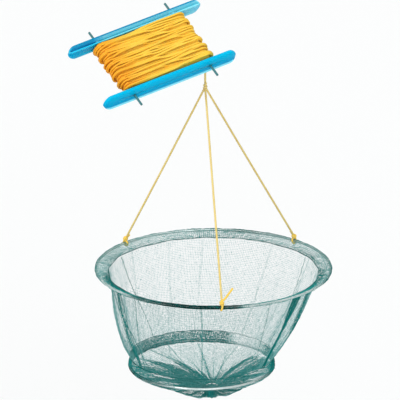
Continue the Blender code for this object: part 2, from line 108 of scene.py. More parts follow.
# Small helpers for meshes and nodes
def placed(name, data):
    """A new object that shows some data."""
    made = bpy.data.objects.new(name, data)
    scene.collection.objects.link(made)
    return made


def linear(code):
    """A colour written as sRGB hex, as linear RGBA."""
    parts = [int(code[i:i + 2], 16) / 255 for i in (0, 2, 4)]
    return tuple(c / 12.92 if c <= 0.04045 else ((c + 0.055) / 1.055) ** 2.4 for c in parts) + (1.0,)


def add(tree, kind, inputs=None, **settings):
    """Adds a node with its settings, and fills or links its inputs by name or number.

    A node that is given to an input stands for its own first output.
    """
    made = tree.nodes.new(kind)
    for name, value in settings.items():
        setattr(made, name, value)
    for key, value in (inputs or {}).items():
        if isinstance(value, bpy.types.Node):
            value = value.outputs[0]
        if isinstance(value, bpy.types.NodeSocket):
            tree.links.new(value, made.inputs[key])
        else:
            made.inputs[key].default_value = value
    return made


def node_tree(name, *sizes):
    """A geometry tree with named sizes and a finish as inputs."""
    tree = bpy.data.node_groups.new(name, "GeometryNodeTree")
    tree.interface.new_socket("Geometry", in_out="OUTPUT", socket_type="NodeSocketGeometry")
    labels = [("Geometry", "Geometry")] + [(size, "Float") for size in sizes] + [("Finish", "Material")]
    for label, kind in labels:
        tree.interface.new_socket(label, in_out="INPUT", socket_type="NodeSocket" + kind)
    return tree, tree.nodes.new("NodeGroupInput").outputs


def sweep(tree, given, line, ring, **more):
    """Ends a tree with a ring swept along a line, as smooth, real geometry that wears the finish."""
    made = add(tree, "GeometryNodeCurveToMesh", {"Curve": line, "Profile Curve": ring, **more})
    for kind in ("GeometryNodeSetShadeSmooth", "GeometryNodeRealizeInstances"):
        made = add(tree, kind, {"Geometry": made})
    dressed = add(tree, "GeometryNodeSetMaterial", {"Geometry": made, "Material": given["Finish"]})
    add(tree, "NodeGroupOutput", {"Geometry": dressed})


def real(name, seed):
    """A plain mesh in place of an object with modifiers."""
    graph = bpy.context.evaluated_depsgraph_get()
    mesh = bpy.data.meshes.new_from_object(seed.evaluated_get(graph))
    data = seed.data
    bpy.data.objects.remove(seed, do_unlink=True)
    bpy.data.batch_remove([data])
    mesh.name = name
    return placed(name, mesh)


def grown(name, seed, tree, **values):
    """The plain mesh that a tree makes from an object, which goes."""
    modifier = seed.modifiers.new(name, "NODES")
    modifier.node_group = tree
    for item in tree.interface.items_tree:
        if item.in_out == "INPUT" and item.name in values:
            modifier[item.identifier] = values[item.name]
    return real(name, seed)


def mesh_object(name, points, faces, finish=None, smooth=True):
    mesh = bpy.data.meshes.new(name)
    mesh.from_pydata(points, [], faces)
    work = bmesh.new()
    work.from_mesh(mesh)
    bmesh.ops.remove_doubles(work, verts=work.verts, dist=1e-6)
    bmesh.ops.recalc_face_normals(work, faces=work.faces)
    work.to_mesh(mesh)
    work.free()
    mesh.polygons.foreach_set("use_smooth", [smooth] * len(mesh.polygons))
    if finish:
        mesh.materials.append(finish)
    return placed(name, mesh)


def circle(radius, sides):
    """Points round a circle."""
    return [(radius * cos(2 * pi * i / sides), radius * sin(2 * pi * i / sides)) for i in range(sides)]


def grid_faces(rows, columns, shut=False):
    """Faces between closed rings of points; shut joins the last ring to the first as well."""
    faces = []
    for row in range(rows if shut else rows - 1):
        here = row * columns
        above = (row + 1) % rows * columns
        for column in range(columns):
            after = (column + 1) % columns
            faces.append((here + column, here + after, above + after, above + column))
    return faces


def joined(name, objects):
    """One mesh of several that wear the same finish; they go."""
    work = bmesh.new()
    for obj in objects:
        work.from_mesh(obj.data)
    mesh = bpy.data.meshes.new(name)
    work.to_mesh(mesh)
    work.free()
    mesh.materials.append(objects[0].data.materials[0])
    for obj in objects:
        bpy.data.objects.remove(obj, do_unlink=True)
    return placed(name, mesh)


def path_object(points, cyclic=False):
    """A bare curve through points, for a tree to dress."""
    curve = bpy.data.curves.new("path", "CURVE")
    curve.dimensions = "3D"
    curve.twist_mode = "MINIMUM"
    spline = curve.splines.new("POLY")
    spline.points.add(len(points) - 1)
    for target, point in zip(spline.points, points):
        target.co = (*point, 1.0)
    spline.use_cyclic_u = cyclic
    return placed("path", curve)


def twisted(name, points, finish, diameter=CORD, lay=8.0 * MM, step=0.8 * MM, cyclic=False):
    """A twisted cord along points; lay is one full turn of its strands."""
    tree = bpy.data.node_groups["Twisted cord"]
    path = path_object(points, cyclic)
    return grown(name, path, tree, Diameter=diameter, Lay=lay, Step=step, Finish=finish)


def ringed(centre, reach, turn, height):
    """Points about a centre, each at its own reach, turn and height."""
    return np.stack([centre[0] + reach * np.cos(turn), centre[1] + reach * np.sin(turn), height], axis=-1)


def wave(turn, count, sway=0.0, slow=1, ahead=0.0):
    """A wave with count crests round the net, which sway forth and back slow times; ahead shifts them."""
    return np.sin(count * turn + sway * np.sin(slow * turn) + ahead)


def wrapped(angle):
    """An angle brought between minus and plus half a turn."""
    return (angle + pi) % (2 * pi) - pi


def keep(mesh, label, values):
    """Keeps a value at each point of a mesh."""
    mesh.attributes.new(label, "FLOAT", "POINT").data.foreach_set("value", values)


def smooth_path(points, step):
    """Points along a smooth line through a few points, about a step apart."""
    points = [Vector(p) for p in points]
    ends = [2 * points[0] - points[1]] + points + [2 * points[-1] - points[-2]]
    line = []
    for before, start, end, after in zip(ends, ends[1:], ends[2:], ends[3:]):
        count = max(1, ceil((end - start).length / step))
        for i in range(count):
            t = i / count
            way = 2 * start + (end - before) * t + (2 * before - 5 * start + 4 * end - after) * t * t
            way += (3 * start - before - 3 * end + after) * t**3
            line.append(way / 2)
    return line + [points[-1]]


# Finishes
def shaded(name, **values):
    finish = bpy.data.materials.new(name)
    finish.use_nodes = True
    shader = finish.node_tree.nodes["Principled BSDF"]
    for label, value in values.items():
        shader.inputs[label.replace("_", " ")].default_value = value
    return finish, finish.node_tree, shader


def finished(finish, shader, colour, relief=None):
    """The finish with its colour and its fine relief."""
    links = finish.node_tree.links
    links.new(colour, shader.inputs["Base Color"])
    if relief is not None:
        links.new(relief.outputs[0], shader.inputs["Normal"])
    return finish


def moulded_blue():
    """Injection-moulded polypropylene: bright, glossy and a little see-through where it is thin."""
    finish, tree, shader = shaded(
        "moulded_polypropylene_blue", Roughness=0.24, IOR=1.46, Specular_IOR_Level=0.07,
        Subsurface_Weight=0.5, Subsurface_Scale=0.003, Subsurface_Radius=(0.5, 1.0, 1.0),
    )
    place = add(tree, "ShaderNodeTexCoord").outputs["Object"]
    # Flow clouds of the melt, about 12 mm across
    cloud = add(tree, "ShaderNodeTexNoise", {"Vector": place, "Scale": 80.0, "Detail": 2.0})
    blues = {0: cloud, 6: linear("00AED8"), 7: linear("02BCE4")}
    colour = add(tree, "ShaderNodeMix", blues, data_type="RGBA").outputs[2]
    girth_and_hull_shade, length, inside, rim = (
        add(tree, "ShaderNodeAttribute", attribute_name=name).outputs["Fac"]
        for name in ("girth_and_hull_shade", "length", "inside", "rim")
    )
    # Painted light: the glow inside the trough fades toward the left end, and a painted glow pales the right
    # end
    clear = {"Value": length, "From Min": -0.30, "From Max": -0.22, "To Min": 0.12}
    clear = add(tree, "ShaderNodeMapRange", clear)
    painted_end_glow = {"Value": length, "From Min": 0.27, "From Max": 0.36, "To Max": 0.45}
    painted_end_glow = add(tree, "ShaderNodeMapRange", painted_end_glow)
    # Painted light inside the trough, as if it came through the thin walls
    through = add(tree, "ShaderNodeMath", {0: inside, 1: clear}, operation="MULTIPLY")
    # Painted shade deepens the hull toward the rim, a painted glow pales the right end and the inside of the
    # trough, and the far rim, seen edge on, gets the full painted shade
    for share, code in ((girth_and_hull_shade, "008CBE"), (painted_end_glow, "9CEBFB"), (through, "9CEBFB"), (rim, "0389B2")):
        layer = {0: share, 6: colour, 7: linear(code)}
        colour = add(tree, "ShaderNodeMix", layer, data_type="RGBA").outputs[2]
    # Faint waviness of the moulding, 9 mm across
    waviness = add(tree, "ShaderNodeTexNoise", {"Vector": place, "Scale": 110.0, "Detail": 1.0})
    relief = add(tree, "ShaderNodeBump", {"Height": waviness, "Strength": 0.05, "Distance": 0.001})
    return finished(finish, shader, colour, relief)


def rod_finish():
    """Pultruded fibre rod, dark green-blue: satin, with fine lines along it."""
    finish, tree, shader = shaded("pultruded_rod_teal", Roughness=0.38, IOR=1.52)
    turn = {"Vector": add(tree, "ShaderNodeTexCoord").outputs["Object"], "Rotation": WINDER.to_euler()}
    local = add(tree, "ShaderNodeMapping", turn, vector_type="TEXTURE")
    # Fibre bundles 0.4 mm wide, drawn out along the rod
    stretch = add(tree, "ShaderNodeMapping", {"Vector": local, "Scale": (2500, 60, 2500)})
    grain = add(tree, "ShaderNodeTexNoise", {"Vector": stretch, "Scale": 1.0, "Detail": 2.0})
    greens = {0: grain, 6: linear("1F5A60"), 7: linear("2F7A7C")}
    colour = add(tree, "ShaderNodeMix", greens, data_type="RGBA").outputs[2]
    relief = add(tree, "ShaderNodeBump", {"Height": grain, "Strength": 0.15, "Distance": 0.0001})
    return finished(finish, shader, colour, relief)


def cord_finish(name, deep, light, sheen, left_end_shade=0.0):
    """Twisted polyethylene cord: slick filaments, light on the strands, with painted shade deep between them.
    """
    finish, tree, shader = shaded(
        name, Roughness=0.42, IOR=1.5, Sheen_Weight=sheen, Sheen_Roughness=0.4, Specular_IOR_Level=0.12,
        Subsurface_Weight=0.2, Subsurface_Scale=0.0015, Subsurface_Radius=(1.0, 0.75, 0.2),
    )
    around, along, groove = (
        add(tree, "ShaderNodeAttribute", attribute_name=name).outputs["Fac"]
        for name in ("around", "along", "groove")
    )
    # Filaments 0.25 mm wide that follow each strand
    across = add(tree, "ShaderNodeMath", {0: around, 1: 36.0}, operation="MULTIPLY")
    down = add(tree, "ShaderNodeMath", {0: along, 1: 260.0}, operation="MULTIPLY")
    spot = add(tree, "ShaderNodeCombineXYZ", {0: across, 1: down})
    fibre = add(tree, "ShaderNodeTexNoise", {"Vector": spot, "Scale": 1.0, "Detail": 2.0})
    # Uneven dye, 15 mm patches
    place = add(tree, "ShaderNodeTexCoord").outputs["Object"]
    patch = add(tree, "ShaderNodeTexNoise", {"Vector": place, "Scale": 65.0, "Detail": 1.0})
    share = add(tree, "ShaderNodeMath", {0: patch, 1: 0.55, 2: 0.02}, operation="MULTIPLY_ADD")
    share = add(tree, "ShaderNodeMath", {0: fibre, 1: 0.45, 2: share}, operation="MULTIPLY_ADD")
    # Painted shade: the grooves between the strands are drawn toward the deep colour
    shut = add(tree, "ShaderNodeMath", {0: groove, 1: 0.08}, operation="MULTIPLY")
    # Painted shade: the wound line's bends at the left end are deeper in colour
    turn = {"Vector": place, "Rotation": WINDER.to_euler()}
    local = add(tree, "ShaderNodeMapping", turn, vector_type="TEXTURE")
    apart = add(tree, "ShaderNodeSeparateXYZ", {0: local})
    painted_left_shade = {"Value": apart, "From Min": -0.066, "From Max": -0.022, "To Min": left_end_shade, "To Max": 0.0}
    painted_left_shade = add(tree, "ShaderNodeMapRange", painted_left_shade)
    colour = linear(deep)
    for amount, code in ((share, light), (shut, deep), (painted_left_shade, "F09A14")):
        layer = {0: amount, 6: colour, 7: linear(code)}
        colour = add(tree, "ShaderNodeMix", layer, data_type="RGBA").outputs[2]
    relief = add(tree, "ShaderNodeBump", {"Height": fibre, "Strength": 0.20, "Distance": 0.0003})
    return finished(finish, shader, colour, relief)


def netting_finish(name, alone, between, gathered):
    """Woven polyethylene netting: thin slick threads of their own teal, greyish alone, with painted shade
    that makes them deep green-blue in a bunch.
    """
    finish, tree, shader = shaded(name, Roughness=0.5, IOR=1.5, Specular_IOR_Level=0.06)
    bunch = add(tree, "ShaderNodeAttribute", attribute_name="bunch").outputs["Fac"]
    # Threads differ a little every 4 mm
    place = add(tree, "ShaderNodeTexCoord").outputs["Object"]
    uneven = add(tree, "ShaderNodeTexNoise", {"Vector": place, "Scale": 250.0, "Detail": 1.0})
    # Painted shade: the more the threads are gathered, by their bunch share, the deeper their colour
    share = add(tree, "ShaderNodeMath", {0: uneven, 1: 0.20, 2: bunch}, operation="MULTIPLY_ADD")
    share = add(tree, "ShaderNodeMath", {0: share, 1: 0.08}, operation="SUBTRACT", use_clamp=True)
    ramp = add(tree, "ShaderNodeValToRGB", {"Fac": share})
    for stop, code in zip(ramp.color_ramp.elements, (alone, gathered)):
        stop.color = linear(code)
    ramp.color_ramp.elements.new(0.5).color = linear(between)
    return finished(finish, shader, ramp.outputs["Color"])


def wire_finish():
    """Bright galvanised steel wire: pale metal with a faint spangle."""
    finish, tree, shader = shaded("galvanised_wire", Metallic=1.0, Roughness=0.32)
    # Zinc spangle, 2 mm across
    place = add(tree, "ShaderNodeTexCoord").outputs["Object"]
    spangle = add(tree, "ShaderNodeTexVoronoi", {"Vector": place, "Scale": 500.0})
    greys = {0: spangle, 6: linear("E6ECEB"), 7: linear("C2CBCA")}
    colour = add(tree, "ShaderNodeMix", greys, data_type="RGBA").outputs[2]
    relief = add(tree, "ShaderNodeBump", {"Height": spangle, "Strength": 0.1, "Distance": 0.0001})
    return finished(finish, shader, colour, relief)


# Trees
def make_cord_tree():
    """A laid cord of three strands along a path."""
    tree, given = node_tree("Twisted cord", "Diameter", "Lay", "Step")
    even = {"Curve": given["Geometry"], "Length": given["Step"]}
    line = add(tree, "GeometryNodeResampleCurve", even, mode="LENGTH")
    where = add(tree, "GeometryNodeSplineParameter").outputs["Length"]
    turns = add(tree, "ShaderNodeMath", {0: where, 1: given["Lay"]}, operation="DIVIDE")
    angle = add(tree, "ShaderNodeMath", {0: turns, 1: 2 * pi}, operation="MULTIPLY")
    line = add(tree, "GeometryNodeSetCurveTilt", {"Curve": line, "Tilt": angle})
    radius = add(tree, "ShaderNodeMath", {0: given["Diameter"], 1: 0.46}, operation="MULTIPLY")
    ring = add(tree, "GeometryNodeCurvePrimitiveCircle", {"Resolution": 9, "Radius": radius})
    # The three strands swell and sink round the section
    part = add(tree, "GeometryNodeSplineParameter").outputs["Factor"]
    lobe = add(tree, "ShaderNodeMath", {0: part, 1: 6 * pi}, operation="MULTIPLY")
    lobe = add(tree, "ShaderNodeMath", {0: lobe}, operation="COSINE")
    swell = add(tree, "ShaderNodeMath", {0: lobe, 1: 0.065, 2: 1.0}, operation="MULTIPLY_ADD")
    place = add(tree, "GeometryNodeInputPosition")
    swollen = add(tree, "ShaderNodeVectorMath", {0: place, "Scale": swell}, operation="SCALE")
    ring = add(tree, "GeometryNodeSetPosition", {"Geometry": ring, "Position": swollen})
    # The finish reads how far along the cord each point lies, where round it and how deep in a groove
    held = {"Geometry": line, "Name": "along", "Value": where}
    line = add(tree, "GeometryNodeStoreNamedAttribute", held, data_type="FLOAT", domain="POINT")
    shut = add(tree, "ShaderNodeMath", {0: lobe, 1: -0.5, 2: 0.5}, operation="MULTIPLY_ADD")
    for label, value in (("around", part), ("groove", shut)):
        held = {"Geometry": ring, "Name": label, "Value": value}
        ring = add(tree, "GeometryNodeStoreNamedAttribute", held, data_type="FLOAT", domain="POINT")
    sweep(tree, given, line, ring, **{"Fill Caps": True})


def make_netting_tree():
    """Threads along every line of a drawn grid, as thick as its points say."""
    tree, given = node_tree("Netting", "Thread")
    line = add(tree, "GeometryNodeMeshToCurve", {"Mesh": given["Geometry"]})
    radius = add(tree, "ShaderNodeMath", {0: given["Thread"], 1: 0.5}, operation="MULTIPLY")
    ring = add(tree, "GeometryNodeCurvePrimitiveCircle", {"Resolution": 3, "Radius": radius})
    girth_and_hull_shade = add(tree, "GeometryNodeInputNamedAttribute", {"Name": "girth_and_hull_shade"}, data_type="FLOAT")
    sweep(tree, given, line, ring, Scale=girth_and_hull_shade)


# Winder rails
RAIL_LENGTH = 196.8 * MM
RAIL_WIDTH = 8.5 * MM
RAIL_DEPTH = 19.5 * MM
RAIL_WALL = 1.4 * MM
RAIL_END = 12.0 * MM
RAIL_NOSE = 0.50
RAIL_FULLNESS = 2.8
NOSE_BACK = 2.4 * MM
LIP_HEIGHT = 1.6 * MM
RIM_DEPTH = 1.2 * LIP_HEIGHT
LIP_REACH = 0.7 * MM
RAIL_SIDES = 22
RAIL_RINGS = 14
BORE_RADIUS = 1.8 * MM
SLOT_RADIUS = 0.55 * MM
SLOT_DROP = 2.6 * MM
TUBE_INNER = 1.75 * MM
TUBE_OUTER = 3.6 * MM
TUBE_OVERLAP = 0.4 * MM


def trough_outline(narrow, inset):
    """One level of the trough in plan: straight sides with half-elliptical ends."""
    straight = RAIL_LENGTH / 2 - LIP_REACH - RAIL_END
    points = []
    for side in (1, -1):
        for step in range(RAIL_SIDES):
            angle = -pi / 2 + pi * step / (RAIL_SIDES - 1)
            along = cos(angle) * (RAIL_END - inset) * narrow
            across = sin(angle) * (RAIL_WIDTH / 2 - inset) * narrow
            points.append((side * (straight + along), side * across))
    return points


def nosed(x, y, z):
    """A point drawn in toward mid-depth, and at the rim back a little, in the rail's bullet nose."""
    straight = RAIL_LENGTH / 2 - RAIL_END
    part = max(0.0, (abs(x) - straight) / RAIL_END)
    middle = -RAIL_DEPTH / 2
    rim = max(0.0, 1 + z / -middle)
    back = NOSE_BACK * part**2 * rim**2
    return (x - back if x > 0 else x + back), y, middle + (z - middle) * (1 - RAIL_NOSE * part**2)


def strips_across(first):
    """Faces from one side of a plan outline to the other, so that each lies level."""
    faces = []
    for end in (first, first + RAIL_SIDES):
        for step in range(RAIL_SIDES // 2 - 1):
            low = end + step
            high = end + RAIL_SIDES - 1 - step
            faces.append((low, low + 1, high - 1, high))
    faces.append((first, first + RAIL_SIDES - 1, first + RAIL_SIDES, first + 2 * RAIL_SIDES - 1))
    return faces


def bowl_rings(inset, depth):
    """Rings of the rounded hull, from its side down: how narrow, how far inset and how high each is."""
    rings = []
    for step in range(1, RAIL_RINGS):
        angle = radians(84.0) * step / (RAIL_RINGS - 1)
        narrow = cos(angle) ** (2 / RAIL_FULLNESS)
        low = sin(angle) ** (2 / RAIL_FULLNESS) * depth
        rings.append((narrow, inset, -low))
    return rings


def make_rail(name, across, rims_up, finish):
    """A moulded trough, rims up or rims down, with its rods' bores and tubes."""
    bead = LIP_REACH
    rings = list(reversed(bowl_rings(RAIL_WALL, RAIL_DEPTH - RAIL_WALL)))
    rings += [
        (1.0, RAIL_WALL, -0.5 * LIP_HEIGHT), (1.0, 0.8 * RAIL_WALL, -0.12 * LIP_HEIGHT),
        (1.0, 0.5 * RAIL_WALL, 0.0), (1.0, -0.4 * bead, 0.0), (1.0, -0.85 * bead, -0.14 * LIP_HEIGHT),
        (1.0, -bead, -0.4 * LIP_HEIGHT), (1.0, -bead, -0.75 * LIP_HEIGHT),
        (1.0, -0.75 * bead, -LIP_HEIGHT), (1.0, 0.0, -1.08 * LIP_HEIGHT),
    ]
    rings += [ring for ring in bowl_rings(0.0, RAIL_DEPTH) if ring[2] < -RIM_DEPTH]
    points = [nosed(x, y, z) for narrow, inset, z in rings for x, y in trough_outline(narrow, inset)]
    columns = 2 * RAIL_SIDES
    faces = grid_faces(len(rings), columns) + strips_across(0) + strips_across(len(points) - columns)
    rail = mesh_object(name, points, faces, finish)

    # The rods pass through bores, with a moulded tube inside the trough and a slot outside
    cutters = []
    places = []
    outside = 1 if rims_up else -1
    for side in (-1, 1):
        place = Vector((side * ROD_HALF_SPACING - RAIL_SHIFT, 0, -RAIL_DEPTH / 2))
        slot = place + Vector((0, outside * RAIL_WIDTH / 2, -SLOT_DROP))
        cutters += [stub(place, BORE_RADIUS, 4 * RAIL_WIDTH, 32), stub(slot, SLOT_RADIUS, RAIL_WIDTH, 4)]
        places.append(place)
    for cutter in cutters:
        cut = rail.modifiers.new("Bore", "BOOLEAN")
        cut.operation = "DIFFERENCE"
        cut.solver = "EXACT"
        cut.object = cutter
    rail = real(name, rail)
    for cutter in cutters:
        bpy.data.objects.remove(cutter, do_unlink=True)
    whole = joined(name, [rail] + [collar(place, finish) for place in places])
    # Only the rail with its rims up gets the painted glow that changes from its left end to its right
    shares = [
        (*hull_painted_light(v.co, -outside), v.co.x / RAIL_LENGTH if rims_up else 0.0) for v in whole.data.vertices
    ]
    for label, values in zip(("inside", "girth_and_hull_shade", "rim", "length"), zip(*shares)):
        keep(whole.data, label, values)
    flip = Matrix.Identity(4) if rims_up else Matrix.Rotation(pi, 4, "X")
    lift = Matrix.Translation((RAIL_SHIFT, across, outside * RAIL_DEPTH / 2))
    whole.data.transform(WINDER.to_4x4() @ lift @ flip)
    return whole


def hull_painted_light(place, front):
    """Painted light and shade at a place, for a rail rims up: the glow inside the trough, the highlight on
    the near lip, the shade that deepens the hull toward its rim, and the shade of the far rim."""
    part = max(0.0, (abs(place.x) - (RAIL_LENGTH / 2 - RAIL_END)) / RAIL_END)
    height = -RAIL_DEPTH / 2 + (place.z + RAIL_DEPTH / 2) / (1 - RAIL_NOSE * min(1.0, part) ** 2)
    ahead = place.y * front
    rim = 0.0
    # Near the rim: a painted highlight on the near lip, and painted shade on the far rim
    if height > -RIM_DEPTH and abs(ahead) > 0.3 * RAIL_WIDTH:
        if ahead > 0:
            return (0.5 if front < 0 else 0.8), 0.0, 0.0
        rim = 1.0 if abs(ahead) > RAIL_WIDTH / 2 - 0.9 * RAIL_WALL else 0.3
    deep = min(0.999, max(0.0, -height / RAIL_DEPTH))
    narrow = (1 - deep**RAIL_FULLNESS) ** (1 / RAIL_FULLNESS)
    # A place within the middle of the wall is inside the trough
    middle = 0.6 * RAIL_WALL
    aside = abs(place.y) / ((RAIL_WIDTH / 2 - middle) * narrow)
    beyond = max(0.0, abs(place.x) - (RAIL_LENGTH / 2 - LIP_REACH - RAIL_END))
    along = beyond / ((RAIL_END - middle) * narrow)
    within = aside**2 + along**2 < 1 and height > -(RAIL_DEPTH - middle)
    # Inside the trough a painted glow; on the outer hull, painted shade that grows toward the rim
    return (1.0, 0.0, rim) if within else (0.0, 1 - deep, rim)


def stub(place, radius, length, sides):
    """A plain cylinder along Y."""
    points = [(x, y, z) for y in (-length / 2, length / 2) for x, z in circle(radius, sides)]
    faces = grid_faces(2, sides) + [tuple(range(sides)), tuple(range(sides, 2 * sides))]
    made = mesh_object("stub", points, faces, smooth=False)
    made.data.transform(Matrix.Translation(place))
    return made


def collar(place, finish):
    """The moulded tube round a rod, along Y, with its ends sunk in the walls."""
    sides = 28
    half = (RAIL_WIDTH - 2 * RAIL_WALL + TUBE_OVERLAP) / 2
    rings = ((TUBE_INNER, -half), (TUBE_OUTER, -half), (TUBE_OUTER, half), (TUBE_INNER, half))
    points = [(x, y, z) for radius, y in rings for x, z in circle(radius, sides)]
    made = mesh_object("collar", points, grid_faces(len(rings), sides, shut=True), finish, smooth=False)
    made.data.transform(Matrix.Translation(place))
    return made


# Wound line
RUN = 2 * ROD_HALF_SPACING
FIRST_LAYER = 6.4 * MM
TURN = pi * FIRST_LAYER
LOOP = 2 * RUN + 2 * TURN
LOOP_STEPS = 150
PACK_HALF = 36.9 * MM
TOUCH = 2.6 * MM


def unrolled(rng):
    """How far along the rods each loop lies, at steps round the winder: one row per loop."""
    shares = np.linspace(0, 1, LOOP_STEPS, endpoint=False)
    loops = []
    here = PACK_HALF
    # Four passes over the pack: how many loops each has, and how far on each loop goes
    pack = 2 * PACK_HALF
    passes = [(25, -pack / 24.5), (9, pack / 8.8), (3, -1.6 * MM), (6, -pack / 6.3)]
    for count, shift in passes:
        for _ in range(count):
            loops.append(here + shift * shares)
            here += shift
    loops = np.array(loops)
    around = 2 * pi * shares
    # Neighbours draw together and part in the same places, so that the strands lie in groups
    group = 2 * pi * loops / (15.2 * MM) + 1.3 * np.sin(around + 1.0) + 0.9 * np.sin(2 * around)
    loops = loops + 1.2 * MM * np.sin(group)
    for loop in loops:
        sway = rng.normal(0, 1, 5)
        turns = rng.uniform(0, 2 * pi, 5)
        loop += 0.8 * MM * sum(sway[k] * np.sin((k + 1) * around + turns[k]) / (k + 1.2) for k in range(5))
    reach = PACK_HALF + 1.2 * MM
    return np.clip(loops, -reach, reach), shares


def piled(loops):
    """How high each loop lies, on the loops wound before it."""
    heights = np.full(loops.shape, FIRST_LAYER)
    kernel = np.exp(-0.5 * (np.arange(-6, 7) / 2.4) ** 2)
    kernel /= kernel.sum()
    for i in range(len(loops)):
        if i:
            aside = np.abs(loops[:i] - loops[i][None, :])
            rise = np.sqrt(np.clip(TOUCH**2 - aside**2, 0, None))
            high = np.where(aside < TOUCH, heights[:i] + rise, FIRST_LAYER)
            heights[i] = np.maximum(FIRST_LAYER, high.max(axis=0))
        wrapped = np.concatenate([heights[i][-6:], heights[i], heights[i][:6]])
        heights[i] = np.maximum(np.convolve(wrapped, kernel, "valid"), FIRST_LAYER)
        heights[i] = np.minimum(heights[i], FIRST_LAYER + 4.2 * MM)
    return heights


def laid(share, y, height):
    """A point round the winder, share of a loop from the left end of the top run."""
    way = share * LOOP
    if way < RUN:
        return Vector((-ROD_HALF_SPACING + way, y, height))
    way -= RUN
    if way < TURN:
        angle = way / FIRST_LAYER
        return Vector((ROD_HALF_SPACING + height * sin(angle), y, height * cos(angle)))
    way -= TURN
    if way < RUN:
        return Vector((ROD_HALF_SPACING - way, y, -height))
    angle = (way - RUN) / FIRST_LAYER
    return Vector((-ROD_HALF_SPACING - height * sin(angle), y, -height * cos(angle)))


def exit_path():
    """The source's route of the line off the pack: round the right rod, then straight down."""
    pitch = 3.5 * MM
    lifted = FIRST_LAYER + 3.7 * MM
    low = -10.5 * pitch
    climbed = 44.6 * MM
    points = [Vector((0.0, low, FIRST_LAYER)), Vector((climbed, low, lifted))]
    for step in range(8):
        part = step / 7
        angle = pi * 0.82 * part
        across = low + pitch * part
        points.append(Vector((ROD_HALF_SPACING + lifted * sin(angle), across, lifted * cos(angle))))
    corner = points[-1]
    heading = (corner - points[-2]).normalized()
    bend = 7.0 * MM
    end = corner + (heading + DOWN_IN_WINDER).normalized() * bend
    off = []
    for step in range(1, 6):
        part = step / 5
        point = corner * (2 * part**3 - 3 * part**2 + 1)
        point += heading * ((part**3 - 2 * part**2 + part) * bend)
        point += end * (-2 * part**3 + 3 * part**2)
        point += DOWN_IN_WINDER * ((part**3 - part**2) * bend)
        off.append(point)
    off.append(end + DOWN_IN_WINDER * 3.5 * MM)
    return points, [WINDER @ point for point in [corner] + off]


def make_winding(finish):
    loops, shares = unrolled(np.random.default_rng(11))
    heights = piled(loops)
    points = [laid(*spot) for loop, height in zip(loops, heights) for spot in zip(shares, loop, height)]
    # The last turn joins the route off the pack
    over, _ = exit_path()
    joint = points[-1]
    points += smooth_path([joint, joint.lerp(over[0], 0.5) + Vector((0, 0, MM)), over[1]], 2 * MM)[1:-1]
    points += over[1:]
    return twisted("line_wound", [WINDER @ point for point in points], finish, CORD, 13 * MM, 1.6 * MM)


def make_inner_layers(finish):
    """The line under the outer layer, as a ridged body."""
    radius = FIRST_LAYER + 0.2 * MM
    ridge_height = 1.0 * MM
    ridge_steps = 6
    columns = 25 * ridge_steps
    points = []
    for column in range(columns + 1):
        y = PACK_HALF * (2 * column / columns - 1)
        ridge = abs(sin(pi * column / ridge_steps)) ** 0.6 * ridge_height
        edge = min(1.0, min(column, columns - column) / 3)
        reach = (radius - ridge_height + ridge) * (0.75 + 0.25 * edge)
        for side in (1, -1):
            for step in range(9):
                angle = pi * step / 8
                away = ROD_HALF_SPACING + reach * sin(angle)
                points.append((side * away, y, side * reach * cos(angle)))
    size = len(points) // (columns + 1)
    faces = grid_faces(columns + 1, size)
    faces += [tuple(range(size)), tuple(range(len(points) - size, len(points)))]
    made = mesh_object("line_under", points, faces, finish)
    made.data.transform(WINDER.to_4x4())
    return made


# Bridle
KNOT_ANGLES = {"left": 139.0, "right": 46.0, "front": -86.0}
TAILS = {
    "left": (0.0052, 0.0020, 0.0048),
    "right": (-0.0046, 0.0022, 0.0062),
    "front": (0.0135, -0.0015, 0.0200),
}


def coil(middle, axis, radius, turns, pitch, start=0.0):
    """Points of a small coil round an axis."""
    turn = Vector((0, 0, 1)).rotation_difference(axis).to_matrix()
    points = []
    count = int(turns * 14)
    for step in range(count + 1):
        angle = start + 2 * pi * turns * step / count
        rise = (step / count - 0.5) * turns * pitch
        points.append(middle + turn @ Vector((radius * cos(angle), radius * sin(angle), rise)))
    return points


def make_hoop_knot(side, finish):
    """A loop round the wire, a wrap with its tail, and the cord through them."""
    angle = radians(KNOT_ANGLES[side])
    outward = Vector((cos(angle), sin(angle), 0))
    wire = UPPER + outward * UPPER_RING
    lump = wire + Vector((0, 0, 6.0 * MM))
    pull = (APEX - lump).normalized()
    aside = pull.cross(outward).normalized()
    ring = []
    for step in range(22):
        turn = 2 * pi * step / 22 - pi / 2
        round_wire = outward * cos(turn) + Vector((0, 0, sin(turn)))
        ring.append(wire + round_wire * 3.4 * MM + aside * 0.9 * MM * sin(turn))
    wrap = coil(lump - pull * 0.4 * MM, pull, 1.95 * MM, 1.7, 2.4 * MM, 0.6)
    tail = Vector(TAILS[side])
    wrap += smooth_path([wrap[-1], lump + tail * 0.35, lump + tail * 0.7, lump + tail], MM)[1:]
    heart = [lump - pull * 4.2 * MM, lump, lump + pull * 4.4 * MM]
    parts = [
        twisted("loop", ring, finish, 2.8 * MM, step=1.0 * MM, cyclic=True),
        twisted("wrap", wrap, finish, 3.1 * MM),
        twisted("heart", heart, finish, 2.9 * MM),
    ]
    return joined("hoop_knot_" + side, parts), lump, pull


def make_leg(side, lump, pull, finish):
    start = APEX - pull * 3.0 * MM
    end = lump + pull * 3.6 * MM
    sag = Vector((0, 0, -0.7 * MM))
    path = [start.lerp(end, step / 24) + sag * sin(pi * step / 24) for step in range(25)]
    return twisted("leg_" + side, path, finish, CORD, 9 * MM, 1.3 * MM), path


